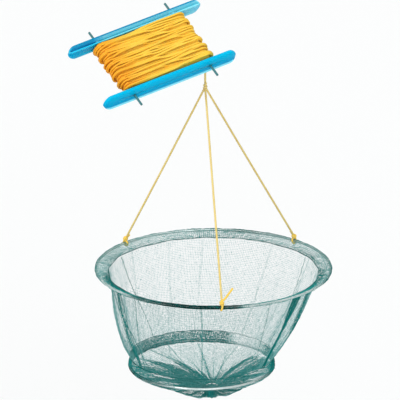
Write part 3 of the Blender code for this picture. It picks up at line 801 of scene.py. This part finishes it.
def make_apex_knot(finish):
    lean = Vector((0.05, 0.02, 1)).normalized()
    wrap = coil(APEX - Vector((0, 0, 0.6 * MM)), lean, 1.9 * MM, 2.4, 3.1 * MM, 2.2)
    tail = [wrap[-1] + Vector(way) * MM for way in ((0, 0, 0), (0.8, -1.0, 1.4), (1.2, -1.6, 3.4))]
    wrap += smooth_path(tail, 0.8 * MM)[1:]
    heart = [APEX + Vector((0, 0, rise * MM)) for rise in (7.0, 0.0, -6.0)]
    parts = [twisted("wrap", wrap, finish, 2.5 * MM), twisted("heart", heart, finish, 3.0 * MM)]
    return joined("bridle_knot_top", parts)


# Hoops
def make_hoop(name, wire_ring, place, finish):
    sides, around = 20, 240
    section = circle(WIRE / 2, sides)
    points = [
        ((wire_ring + x) * along, (wire_ring + x) * across, z)
        for along, across in circle(1.0, around) for x, z in section
    ]
    hoop = mesh_object(name, points, grid_faces(around, sides, shut=True), finish)
    hoop.data.transform(Matrix.Translation(place))
    return hoop


# Netting
THREAD = 0.27 * MM
SEAM_THREAD = 0.30 * MM
# The inner edge of each hem, as a radius and a height from its hoop
UPPER_EDGE = (134.0 * MM, -4.9 * MM)
LOWER_EDGE = (LOWER_RING, 11.7 * MM)


def net_grid(rows, bunch, girth_and_hull_shade, closed=True):
    """A drawn grid: each row of points runs across, and each column from first row to last."""
    deep, wide = rows.shape[:2]
    index = np.arange(deep * wide).reshape(deep, wide)
    across = np.stack([index, np.roll(index, -1, axis=1)], axis=-1)
    across = (across if closed else across[:, :-1]).reshape(-1, 2)
    down = np.stack([index[:-1], index[1:]], axis=-1).reshape(-1, 2) + deep * wide
    # No two threads are alike
    girth_and_hull_shade = girth_and_hull_shade * np.exp(np.random.default_rng(deep).normal(0, 0.28, (deep, wide)))
    flat = rows.reshape(-1, 3)
    return [flat, flat], [across, down], [bunch.reshape(-1)] * 2, [girth_and_hull_shade.reshape(-1)] * 2


def threads(name, finish, grid=None, lines=(), thread=THREAD):
    """Threads along a drawn grid and along free lines, each line with its shade and girth."""
    points, edges, shades, girths = grid or ([], [], [], [])
    start = sum(len(part) for part in points)
    for line, shade, girth in lines:
        count = len(line)
        points.append(line)
        edges.append(np.stack([np.arange(count - 1), np.arange(1, count)], axis=-1) + start)
        shades.append(np.broadcast_to(shade, count))
        girths.append(np.broadcast_to(girth, count))
        start += count
    mesh = bpy.data.meshes.new(name)
    mesh.from_pydata(np.concatenate(points).tolist(), np.concatenate(edges).tolist(), [])
    for label, values in (("bunch", shades), ("girth_and_hull_shade", girths)):
        keep(mesh, label, np.concatenate(values).astype(np.float32))
    return grown(name, placed(name, mesh), bpy.data.node_groups["Netting"], Thread=thread, Finish=finish)


def hump(angle, middle, half):
    """1 at a middle angle, in degrees, falling to 0 at half to each side."""
    gap = (np.degrees(angle) - middle + 180) % 360 - 180
    return np.clip(1 - (gap / half) ** 2, 0, 1) ** 2


# Pleats of the net wall: where each starts and ends round the net, in degrees, how deep it folds in mm,
# and how many threads are gathered in it over what width in mm
PLEATS = [
    (-156, -147, 3.5, 20, 12.0), (-166, -134, 1.4, 4, 1.0), (-138, -142, 1.6, 3, 1.0),
    (-118, -113, 1.4, 0, 1.0), (-58, -46, 1.6, 2, 1.5), (-37, -30, 5.0, 76, 14.0), (-23, -12, 3.5, 20, 12.0),
    (28, 20, 1.6, 2, 1.0), (60, 52, 1.4, 0, 1.0), (95, 96, 1.2, 0, 1.0), (120, 112, 1.4, 0, 1.0),
    (152, 133, 1.8, 3, 0.8), (176, 170, 1.8, 2, 1.0), (-172, -170, 2.2, 2, 2.0),
]
# The wall's radius at its top and bottom, and how high these stand over the upper hoop
WALL_RADII = (133.3 * MM, 91.2 * MM)
WALL_TOP = -6.5 * MM
WALL_BOTTOM = -115.5 * MM


def wall_surface(u, part, pleats=PLEATS):
    """The net wall at angle u and part 0 (top) to 1 (bottom), as arrays of points and of bunching."""
    radius = WALL_RADII[0] + (WALL_RADII[1] - WALL_RADII[0]) * part
    turn = u.copy()
    stand = np.zeros_like(u)
    bunch = np.zeros_like(u)
    for first, last, depth, _, _ in pleats:
        gap = wrapped(u - np.radians(first) - np.radians(last - first) * part)
        deep = depth * MM * (0.30 + 0.70 * part**0.8)
        t = np.clip(gap * radius / (1.15 * deep), -1, 1)
        turn -= (deep / radius) * np.sin(pi * t) * (1 + np.cos(pi * t)) / 2
        stand += 0.9 * MM * np.sin(pi * t)
        bunch = np.maximum(bunch, min(1.0, depth / 5) * (1 - t * t))
    swell = np.sin(pi * part) ** 0.8 * (0.25 + 0.75 * part)
    ripple = 3.2 * MM * wave(turn, 15, 0.8, 3) + 1.4 * MM * wave(turn, 7, ahead=2.1)
    small = 0.7 * MM * wave(turn, 41, 2.0, 5, 6 * part)
    # Slack netting stands out at the left and the right
    slack = 4.0 * MM * np.sin(pi * part) * hump(turn, 0, 55)
    slack += 7.5 * MM * np.sin(pi * part**1.6) * hump(turn, 180, 62)
    reach = radius + swell * (ripple + small) + stand + slack
    centre = (UPPER.x + (LOWER.x - UPPER.x) * part, UPPER.y)
    level = UPPER.z + WALL_TOP + (WALL_BOTTOM - WALL_TOP) * part
    # The bunch share is painted shade: deeper in the pleats, and a little deeper toward the bottom
    return ringed(centre, reach, turn, level), np.maximum(0.8 * bunch, 0.06 + 0.12 * part**2)


def ring_lengths(part):
    """Angles all round the net wall at one level, and how far along its pleats each lies."""
    fine = np.linspace(0, 2 * pi, 7201)
    ring, _ = wall_surface(fine, np.full_like(fine, part))
    length = np.concatenate([[0], np.cumsum(np.linalg.norm(np.diff(ring[:, :2], axis=0), axis=1))])
    return fine, length


def even_angles(count):
    """Angles at which the columns of a pleated net stand equally far apart."""
    fine, length = ring_lengths(0.55)
    wanted = np.linspace(0, length[-1], count, endpoint=False)
    return np.interp(wanted, length, fine)


def make_wall(finish):
    """The net wall in a front half and a back half, which meet at its two sides."""
    columns, rows = 388, 54
    parts = np.linspace(0.0, 1.0, rows)
    points, bunch = wall_surface(*np.meshgrid(even_angles(columns), parts))
    rng = np.random.default_rng(3)
    points += rng.normal(0, 0.12 * MM, points.shape)
    girth_and_hull_shade = 0.95 + 0.8 * bunch
    # The side seam, where the netting's two edges are sewn together
    lines = []
    for shift in (-0.009, -0.004, 0.001, 0.006):
        seam, _ = wall_surface(np.radians(-96.6 + 6.4 * parts) + shift, parts)
        seam[:, 1] -= 0.6 * MM
        lines.append((seam + rng.normal(0, 0.15 * MM, seam.shape), 0.7, 1.1))
    # Threads gathered in the deep pleats, over a width that is measured at a middling radius
    middling = 110.0 * MM
    for first, last, _, count, width in PLEATS:
        middle = np.radians(first + (last - first) * parts)
        for _ in range(count):
            aside = rng.uniform(-0.5, 0.5) * width * MM * (1.10 - 0.30 * parts) / middling
            line, _ = wall_surface(middle + aside, parts, ())
            line += rng.normal(0, 0.25 * MM, line.shape)
            lines.append((line, 0.95, 1.6 if count > 4 else 1.2))
    half = columns // 2
    halves = []
    for name, first, own_lines in (("back", 0, ()), ("front", half, lines)):
        pick = np.arange(first, first + half + 1) % columns
        grid = net_grid(points[:, pick], bunch[:, pick], girth_and_hull_shade[:, pick], closed=False)
        halves.append(threads("netting_wall_" + name, finish, grid, own_lines))
    # Each half is cut tapered, from its length along the upper hem to that along the lower one
    upper, lower = (float(ring_lengths(part)[1][-1]) / 2 for part in (0.0, 1.0))
    slant = float(np.hypot(WALL_RADII[0] - WALL_RADII[1], WALL_TOP - WALL_BOTTOM))
    return halves, (max(upper, lower), slant), (upper + lower) / 2 * slant


def hem_rows(profile, place, columns, seed, sway, rough):
    """Rows of points round a folded hem: the profile runs from one edge, round the wire, to the other."""
    turn = np.linspace(0, 2 * pi, columns, endpoint=False)
    crease = 0.25 * MM
    rows = []
    for i, (radius, z) in enumerate(profile):
        drift = sway * (wave(turn, 9, ahead=0.7 * i) + 0.6 * wave(turn, 23, ahead=1.9 * i))
        angle = turn + drift / radius
        lift = crease * wave(turn, 31, 1.5, 7, 0.5 * i)
        reach = radius + crease * 0.5 * wave(turn, 17, ahead=i)
        rows.append(ringed(place, reach, angle, place.z + z + lift))
    rows = np.array(rows)
    return rows + np.random.default_rng(seed).normal(0, rough, rows.shape), turn


def folded_profile(wire_radius, edge, gap, count):
    """Points of a hem's section: in from the edge's one side, round the wire and back to its other side."""
    heading = Vector((edge[0] - wire_radius, edge[1]))
    reach = heading.length
    heading.normalize()
    across = Vector((-heading.y, heading.x))
    round_wire = WIRE / 2 + 0.35 * MM
    first = (count - 5) // 2

    def beside(part, side):
        away = gap * (0.3 + 0.7 * sin(pi * part)) + round_wire * part * 0.9
        return heading * reach * (1 - part) + across * side * away

    section = [beside(i / first, 1) for i in range(first)]
    for i in range(5):
        angle = pi / 2 + pi * i / 4
        section.append((heading * cos(angle) + across * sin(angle)) * round_wire)
    section += [beside(1 - (i + 1) / first, -1) for i in range(first)]
    return [(wire_radius + point.x, point.y) for point in section]


def make_upper_hem(finish):
    profile = folded_profile(UPPER_RING, UPPER_EDGE, 0.5 * MM, 17)
    rows, turn = hem_rows(profile, UPPER, 340, 5, 0.7 * MM, 0.24 * MM)
    edge = np.abs(np.linspace(-1, 1, len(profile)))[:, None]
    wire = np.exp(-((np.arange(len(profile)) - 8) / 1.6) ** 2)[:, None]
    # The netting is bunched up at the left and right of the front, and sewn together at the front
    drawn = 0.8 * hump(turn, -160, 26) + 0.55 * hump(turn, -14, 24) + 0.3 * hump(turn, 30, 22)
    sewn = 0.9 * hump(turn, -100, 36)
    # Its threads are thinner over the wire, where the wire shines through, and get less painted shade there
    bare = (hump(turn, -50, 34) + hump(turn, -148, 24)) * wire
    # The bunch share is painted shade: deeper at the hem's edges, round the wire and where the netting is
    # drawn together
    bunch = 0.50 + 0.20 * edge**3 + 0.60 * wire + drawn * np.clip(1.6 * edge - 0.35, 0, 1) + sewn * 0.9
    bunch = np.clip(bunch + 0.10 * wave(turn, 5, ahead=0.6) - 0.7 * bare, 0, 1)
    girth_and_hull_shade = (1.25 - 0.22 * hump(turn, 8, 60) + 1.4 * np.clip(bunch - 0.50, 0, 1)) * (1 - 0.55 * bare)
    return threads("netting_hem_upper", finish, net_grid(rows, bunch, girth_and_hull_shade))


def drawn_back(turn, end, soft):
    """1 over the back and the left, from 66 degrees to an end, where it fades over soft degrees."""
    degrees = np.degrees(turn) % 360
    return 1 / (1 + np.exp(-(degrees - 66) / 2.0)) / (1 + np.exp((degrees - end) / soft))


def make_lower_hem(finish):
    profile = folded_profile(LOWER_RING, LOWER_EDGE, 0.35 * MM, 17)
    rows, turn = hem_rows(profile, LOWER, 270, 6, 0.9 * MM, 0.25 * MM)
    edge = np.abs(np.linspace(-1, 1, len(profile)))[:, None]
    # Most of the gathers lie at the left and the back; elsewhere the hem is one thin layer
    sides = np.maximum(1.3 * hump(turn, 4, 38), 0.3 * hump(turn, -148, 24))
    drawn = np.maximum(drawn_back(turn, 186, 5), sides)
    # The bunch share is painted shade, deepest where the hem is gathered
    bunch = np.clip(0.15 + drawn * (0.72 + 0.25 * edge**2) + 0.1 * wave(turn, 6), 0, 1)
    girth_and_hull_shade = 0.65 + 1.9 * np.clip(drawn, 0, 1)
    return threads("netting_hem_lower", finish, net_grid(rows, bunch, girth_and_hull_shade))


def seam_lines(radius, place, girth_and_hull_shade, waver, drawn, first=0, last=360, strands=7, hollow=0.0):
    """Threads laid round each other along a ring, or round a wire, fullest where drawn is 1."""
    turn = np.radians(np.linspace(first, last, int(abs(last - first) * 1.3) + 1))
    full = drawn(turn)
    reach = radius + waver * wave(turn, 13, 2, 4)
    level = place.z + waver * 0.6 * wave(turn, 19, ahead=1.0)
    lines = []
    for strand in range(strands):
        twist = 41 * turn + 2 * pi * strand / strands
        spread = hollow + girth_and_hull_shade * (0.18 + 0.30 * full) * (0.55 if strand == 0 and not hollow else 1.0)
        line = ringed(place, reach + spread * np.cos(twist), turn, level + spread * np.sin(twist))
        # Painted shade deepens the threads where they are fullest
        lines.append((line, np.clip(0.25 + 0.9 * full, 0, 1), 0.7 + 1.9 * full))
    return lines


def upper_seam_drawn(turn):
    """How full the upper seam is: heaviest at the left of the front."""
    most = 0.6 * hump(turn, -130, 60) + 0.12 * hump(turn, 30, 45) + 0.10 * hump(turn, 150, 60)
    return np.clip(0.10 + most + 0.10 * wave(turn, 37), 0.02, 1)


def upper_wrap_drawn(turn):
    """How full the stitching round the upper wire is: thick and dark at the left of the front."""
    front = 1.3 * hump(turn, -98, 34) + 0.25 * hump(turn, -128, 10)
    return np.clip(0.10 + front + 0.5 * hump(turn, 74, 14) + 0.08 * wave(turn, 53), 0.05, 1)


def lower_seam_drawn(turn):
    """How full the lower seam is: gathered at the left and back, hardly at all at the front."""
    back = 0.45 * drawn_back(turn, 215, 8) * (0.85 + 0.3 * wave(turn, 31))
    return np.clip(back + 0.5 * hump(turn, 5, 25), 0.03, 1)


def lower_wrap_drawn(turn):
    """How full the stitching round the lower wire is: dark from the back round to the left of the front."""
    back = 0.9 * drawn_back(turn, 232, 6) * (0.8 + 0.2 * wave(turn, 31))
    return np.clip(back + 0.5 * hump(turn, -20, 30), 0.02, 1)


def make_upper_seam(finish):
    """The cord sewn along the hem's inner edge, and the stitching round its wire."""
    lines = seam_lines(WALL_RADII[0], UPPER - Vector((0, 0, 5.2 * MM)), 2.0 * MM, 0.5 * MM, upper_seam_drawn)
    lines += seam_lines(UPPER_RING, UPPER, 1.2 * MM, 0.1 * MM, upper_wrap_drawn, -134, -76, 13, 1.6 * MM)
    lines += seam_lines(UPPER_RING, UPPER, 1.0 * MM, 0.1 * MM, upper_wrap_drawn, -22, 100, 5, 1.5 * MM)
    return threads("seam_upper", finish, lines=lines, thread=SEAM_THREAD)


def make_lower_seam(finish):
    """The cord sewn along the lower hem's upper edge, and the stitching round its wire."""
    lines = seam_lines(WALL_RADII[1], LOWER + Vector((0, 0, 13.2 * MM)), 1.8 * MM, 0.4 * MM, lower_seam_drawn)
    lines += seam_lines(LOWER_RING, LOWER, 1.0 * MM, 0.1 * MM, lower_wrap_drawn, 60, 250, 9, 1.5 * MM)
    lines += seam_lines(LOWER_RING, LOWER, 1.0 * MM, 0.1 * MM, lower_wrap_drawn, -44, 10, 6, 1.5 * MM)
    return threads("seam_lower", finish, lines=lines, thread=SEAM_THREAD)


# Creases of the net floor: the angle of each at the hoop, in degrees, and how deep it folds
CREASES = [
    (176, 7.0), (157, 5.5), (136, 6.5), (118, 3.5), (93, 3.0), (60, 2.5), (33, 3.0), (12, 6.0),
    (-9, 7.0), (-30, 5.5), (-56, 4.5), (-84, 5.0), (-112, 5.5), (-136, 6.5), (-160, 6.0),
]


def floor_surface(turn, part):
    """The slack net floor from the hoop, part 0, to the mouth of the bunch, part 1, and its bunching."""
    rim_radius = 91.0 * MM
    mouth_radius = 7.2 * MM
    # How far the rim and the mouth hang below the hoop
    high = 3.1 * MM
    low = 26.0 * MM
    bunch = np.zeros_like(turn)
    shifted = turn.copy()
    for middle, depth in CREASES:
        half = radians(3.0 + 0.55 * depth)
        t = np.clip(wrapped(turn - radians(middle)) / half, -1, 1)
        shifted -= half * 0.62 * np.sin(pi * t) * (1 + np.cos(pi * t)) / 2
        bunch = np.maximum(bunch, min(1.0, depth / 6) * (1 - t * t))
    rim = ringed(LOWER, rim_radius, shifted, np.full_like(turn, LOWER.z - high))
    mouth = ringed(BUNCH, mouth_radius, turn, np.full_like(turn, LOWER.z - high))
    points = rim + (mouth - rim) * part[..., None]
    # The front falls at once, and the rest evenly
    front = (0.5 + 0.5 * np.cos(turn - radians(-84))) ** 8
    fall = (low - high) * part ** (0.95 - 0.65 * front)
    ruck = np.sin(pi * part**1.3)
    folds = 3.0 * MM * np.sin(pi * part) * wave(turn, 12, 1.1, 2)
    folds += 1.6 * MM * ruck * wave(turn, 29, 2.2, 3, 3 * part)
    points[..., 2] += folds + 1.2 * MM * bunch * ruck - fall
    shift = 1.8 * MM * ruck * wave(turn, 21, 1.4, 4)
    points[..., 0] -= shift * np.sin(turn)
    points[..., 1] += shift * np.cos(turn)
    return points, bunch


def make_floor(finish):
    columns, rows = 330, 42
    around = np.linspace(0, 2 * pi, columns, endpoint=False)
    turn, part = np.meshgrid(around, np.linspace(0, 1, rows) ** 0.85)
    points, bunch = floor_surface(turn, part)
    points += np.random.default_rng(8).normal(0, 0.16 * MM, points.shape)
    # The bunch share is painted shade, deeper in the creases and toward the bunch
    bunch = np.clip(0.12 + 0.45 * bunch + 0.45 * part**1.5, 0, 1)
    girth_and_hull_shade = 0.9 + 1.2 * np.clip(bunch - 0.30, 0, 1)
    return threads("netting_floor", finish, net_grid(points, bunch, girth_and_hull_shade))


# Where the floor's slack lies heaped: angle, where it starts between hoop and bunch, and how thick it is
HEAPS = [
    (-12, 0.30, 0.5), (-2, 0.10, 1.0), (12, 0.04, 1.3), (28, 0.06, 1.3), (40, 0.30, 0.8),
    (58, 0.75, 0.3), (80, 0.92, 0.2), (105, 0.85, 0.6), (120, 0.65, 0.9), (135, 0.45, 1.0),
    (150, 0.33, 1.0), (167, 0.12, 1.0), (180, 0.07, 1.0), (200, 0.10, 1.0), (216, 0.12, 1.0),
    (236, 0.04, 1.0), (260, 0.03, 1.0), (300, 0.04, 1.0), (318, 0.12, 0.4), (348, 0.30, 0.3),
]


def make_folds(finish):
    """Slack netting heaped over the floor's left and right, gathered toward the bunch."""
    rng = np.random.default_rng(21)
    angles, starts, shares = (np.array(column) for column in zip(*HEAPS))
    lines = []
    while len(lines) < 680:
        angle = rng.uniform(-12, 348)
        if rng.random() > np.interp(angle, angles, shares) * (0.55 + 0.35 * sin(radians(angle) * 23)):
            continue
        start = np.clip(np.interp(angle, angles, starts) + rng.normal(0, 0.06), 0.03, 0.97)
        level = np.linspace(start, 1.0, max(6, int(38 * (1 - start))))
        wander = radians(3.0) * np.sin(pi * level * rng.uniform(0.5, 2) + rng.uniform(0, 6))
        line, _ = floor_surface(radians(angle) + wander, level)
        rise = rng.uniform(0.2, 3.4) * MM
        line[:, 2] += rise * np.sin(pi * np.clip((level - start) / (1.001 - start), 0, 1)) ** 0.6
        line += rng.normal(0, 0.2 * MM, line.shape)
        # The slack at the right gets less painted shade, and so is lighter
        shade = rng.uniform(0.85, 1.1) - 0.30 * float(-12 < angle < 70)
        lines.append((line, shade, rng.uniform(1.4, 2.4)))
    return threads("netting_folds", finish, lines=lines)


def make_bunch(finish):
    """Netting drawn together under the floor: packed folds with loose threads over them."""
    length = 14.6 * MM
    columns, rows = 96, 18
    turn = np.linspace(0, 2 * pi, columns, endpoint=False)
    # The radius from the mouth past the neck to the end
    parts = np.linspace(0, 1, rows)
    radii = np.interp(parts, (0.0, 0.18, 0.40, 0.52, 0.80, 1.0), (7.6, 5.0, 3.1, 3.1, 7.0, 7.2)) * MM
    rings = []
    for i in range(rows):
        flute = 1 + 0.16 * wave(turn, 8, 0.6, 2, pi / 2) + 0.05 * wave(turn, 19, ahead=0.3 * i + pi / 2)
        level = np.full(columns, BUNCH.z - length * parts[i] - 0.7 * MM)
        rings.append(ringed(BUNCH, radii[i] * flute / 1.16, turn, level))
    rings = np.array(rings)
    # The packed folds lie just inside the loose threads, and their mouth goes down like a funnel
    centre = np.array([BUNCH.x, BUNCH.y, 0])
    points = (rings - centre) * np.array([0.93, 0.93, 1]) + centre
    points = points.reshape(-1, 3).tolist() + [(BUNCH.x, BUNCH.y, BUNCH.z - 0.4 * length)]
    tip = rows * columns
    faces = grid_faces(rows, columns)
    faces += [(column, (column + 1) % columns, tip) for column in range(columns)]
    faces.append(tuple(range(tip - columns, tip)))
    heart = mesh_object("heart", points, faces, finish)
    # The heart gets the full painted shade of packed netting
    keep(heart.data, "bunch", [1.0] * len(heart.data.vertices))
    every = np.ones((rows, columns))
    loose = threads("loose", finish, net_grid(rings, 0.9 * every, 1.4 * every))
    return joined("netting_bunch", [heart, loose])


def make_tie(finish):
    place = BUNCH - Vector((0, 0, 7.2 * MM))
    ring = []
    for step in range(40):
        turn = 4 * pi * step / 40
        ring.append(place + Vector((3.75 * cos(turn), 3.75 * sin(turn), 0.7 * cos(turn / 2))) * MM)
    return twisted("bunch_tie", ring, finish, 1.3 * MM, 4 * MM, cyclic=True)


# Room and light
def make_room():
    half = 30.0
    corners = [(-half, -half, 0), (half, -half, 0), (half, half, 0), (-half, half, 0)]
    board, _, _ = shaded("matt_white_board", Roughness=0.9, Base_Color=linear("F6F7F7"))
    floor = mesh_object("floor", corners, [(0, 1, 2, 3)], board, smooth=False)
    floor.data.transform(Matrix.Translation((0, 0, LOWER.z - 0.35)))
    world = bpy.data.worlds.new("studio")
    scene.world = world
    world.use_nodes = True
    tree = world.node_tree
    tree.nodes.clear()
    # The backdrop is full white where it is seen, mirrored or seen through, and lights less than that
    seen = add(tree, "ShaderNodeLightPath").outputs
    sight = seen["Is Camera Ray"]
    for other in ("Is Glossy Ray", "Is Transmission Ray"):
        sight = add(tree, "ShaderNodeMath", {0: sight, 1: seen[other]}, operation="MAXIMUM")
    strength = add(tree, "ShaderNodeMath", {0: sight, 1: 0.38, 2: 0.62}, operation="MULTIPLY_ADD")
    glow = add(tree, "ShaderNodeBackground", {"Color": (1, 1, 1, 1), "Strength": strength})
    add(tree, "ShaderNodeOutputWorld", {"Surface": glow})
    # Each lamp's strength, spread and turn
    for name, power, spread, turn in (("key", 1.28, 14, (38, -14, -28)), ("fill", 0.95, 40, (66, 0, 14))):
        lamp = bpy.data.lights.new(name, "SUN")
        lamp.energy = power
        lamp.angle = radians(spread)
        placed(name, lamp).rotation_euler = [radians(degrees) for degrees in turn]


def settled(piece, body, node, slot, *blend):
    """The piece in place of its solid, riding on its body, or with its place baked in when more is given; its
    slot is not used.
    """
    if blend:
        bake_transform(piece)
    else:
        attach(piece, body)
    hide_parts(node)
    return piece


def make_winder(blue, rod, wound):
    for side, across in (("upper", RAIL_HALF_PITCH), ("lower", -RAIL_HALF_PITCH)):
        rail = make_rail("moulded_rail_" + side, across, side == "upper", blue)
        settled(rail, "winder", "winder_rail_" + side, "blue_plastic")
    for side in ("left", "right"):
        worn = frame["nodes"]["winder_rod_" + side].data.materials
        worn.clear()
        worn.append(rod)
    settled(make_winding(wound), "winder", "line_winding", "yellow_cord")
    settled(make_inner_layers(wound), "winder", "line_inner_layers", "yellow_cord")


def make_bridle(pale, yellow):
    """The hanging line with its knot, and the three legs with theirs."""
    _, off = exit_path()
    knot_top = APEX + Vector((0, 0, 4.5 * MM))
    last = off[-1]
    path = smooth_path(off + [last.lerp(knot_top, 0.3), last.lerp(knot_top, 0.65), knot_top], 1.5 * MM)
    line = twisted("line_hanging", path, pale, CORD, 9 * MM, 1.0 * MM)
    bend = Vector((0, 0, 1.5 * MM))
    settled(line, "winder", "hand_line", "yellow_cord", "line", last + bend, last - bend)
    knot = settled(make_apex_knot(pale), "basket", "apex_knot", "yellow_cord")
    for side in KNOT_ANGLES:
        hoop_knot, lump, pull = make_hoop_knot(side, yellow)
        settled(hoop_knot, "basket", "bridle_knot_" + side, "yellow_cord")
        leg, leg_path = make_leg(side, lump, pull, pale)
        settled(leg, "basket", "bridle_leg_" + side, "yellow_cord")


def make_net(netting, seam, green, wire):
    """Hoops, hems, seams, floor and wall."""
    settled(make_hoop("hoop_upper", UPPER_RING, UPPER, wire), "basket", "upper_hoop", "hoop_wire")
    settled(make_hoop("hoop_lower", LOWER_RING, LOWER, wire), "lower_ring", "lower_hoop", "hoop_wire")
    hem_above = settled(make_upper_hem(netting), "basket", "upper_hem", "doubled_netting")
    hem_below = settled(make_lower_hem(netting), "lower_ring", "lower_hem", "doubled_netting")
    floor_net = settled(make_floor(netting), "lower_ring", "net_floor", "netting")
    bunch = settled(make_bunch(netting), "lower_ring", "floor_gather", "netting")
    tie = settled(make_tie(green), "lower_ring", "floor_tie", "seam_cord")
    folds = settled(make_folds(netting), "lower_ring", "net_floor", "netting")
    seam_above = settled(make_upper_seam(seam), "basket", "upper_hem_seam", "seam_cord")
    seam_below = settled(make_lower_seam(seam), "lower_ring", "lower_hem_seam", "seam_cord")
    halves, wall_flat, wall_area = make_wall(netting)
    top, bottom = (UPPER + Vector((0, 0, level)) for level in (WALL_TOP, WALL_BOTTOM))
    for half in halves:
        settled(half, "basket", "net_wall", "netting", "lower_ring", top, bottom)


def main():
    scene.view_settings.view_transform = "Standard"
    aim_camera()
    make_room()
    make_cord_tree()
    make_netting_tree()
    wound = cord_finish("twisted_polyethylene_wound", "F9B627", "FFE464", 0.0, left_end_shade=0.8)
    yellow = cord_finish("twisted_polyethylene_yellow", "F0BC3C", "FDE27A", 0.0)
    pale = cord_finish("twisted_polyethylene_bridle", "D4B257", "F4E49E", 0.1)
    green = cord_finish("sewn_selvedge_green", "0B4B48", "1E7E77", 0.1)
    netting = netting_finish("woven_polyethylene_netting", "86B3B3", "1E9C98", "057874")
    seam = netting_finish("sewn_selvedge_dark", "5E9696", "1C6E6A", "083431")
    make_bridle(pale, yellow)
    make_winder(moulded_blue(), rod_finish(), wound)
    make_net(netting, seam, green, wire_finish())


main()
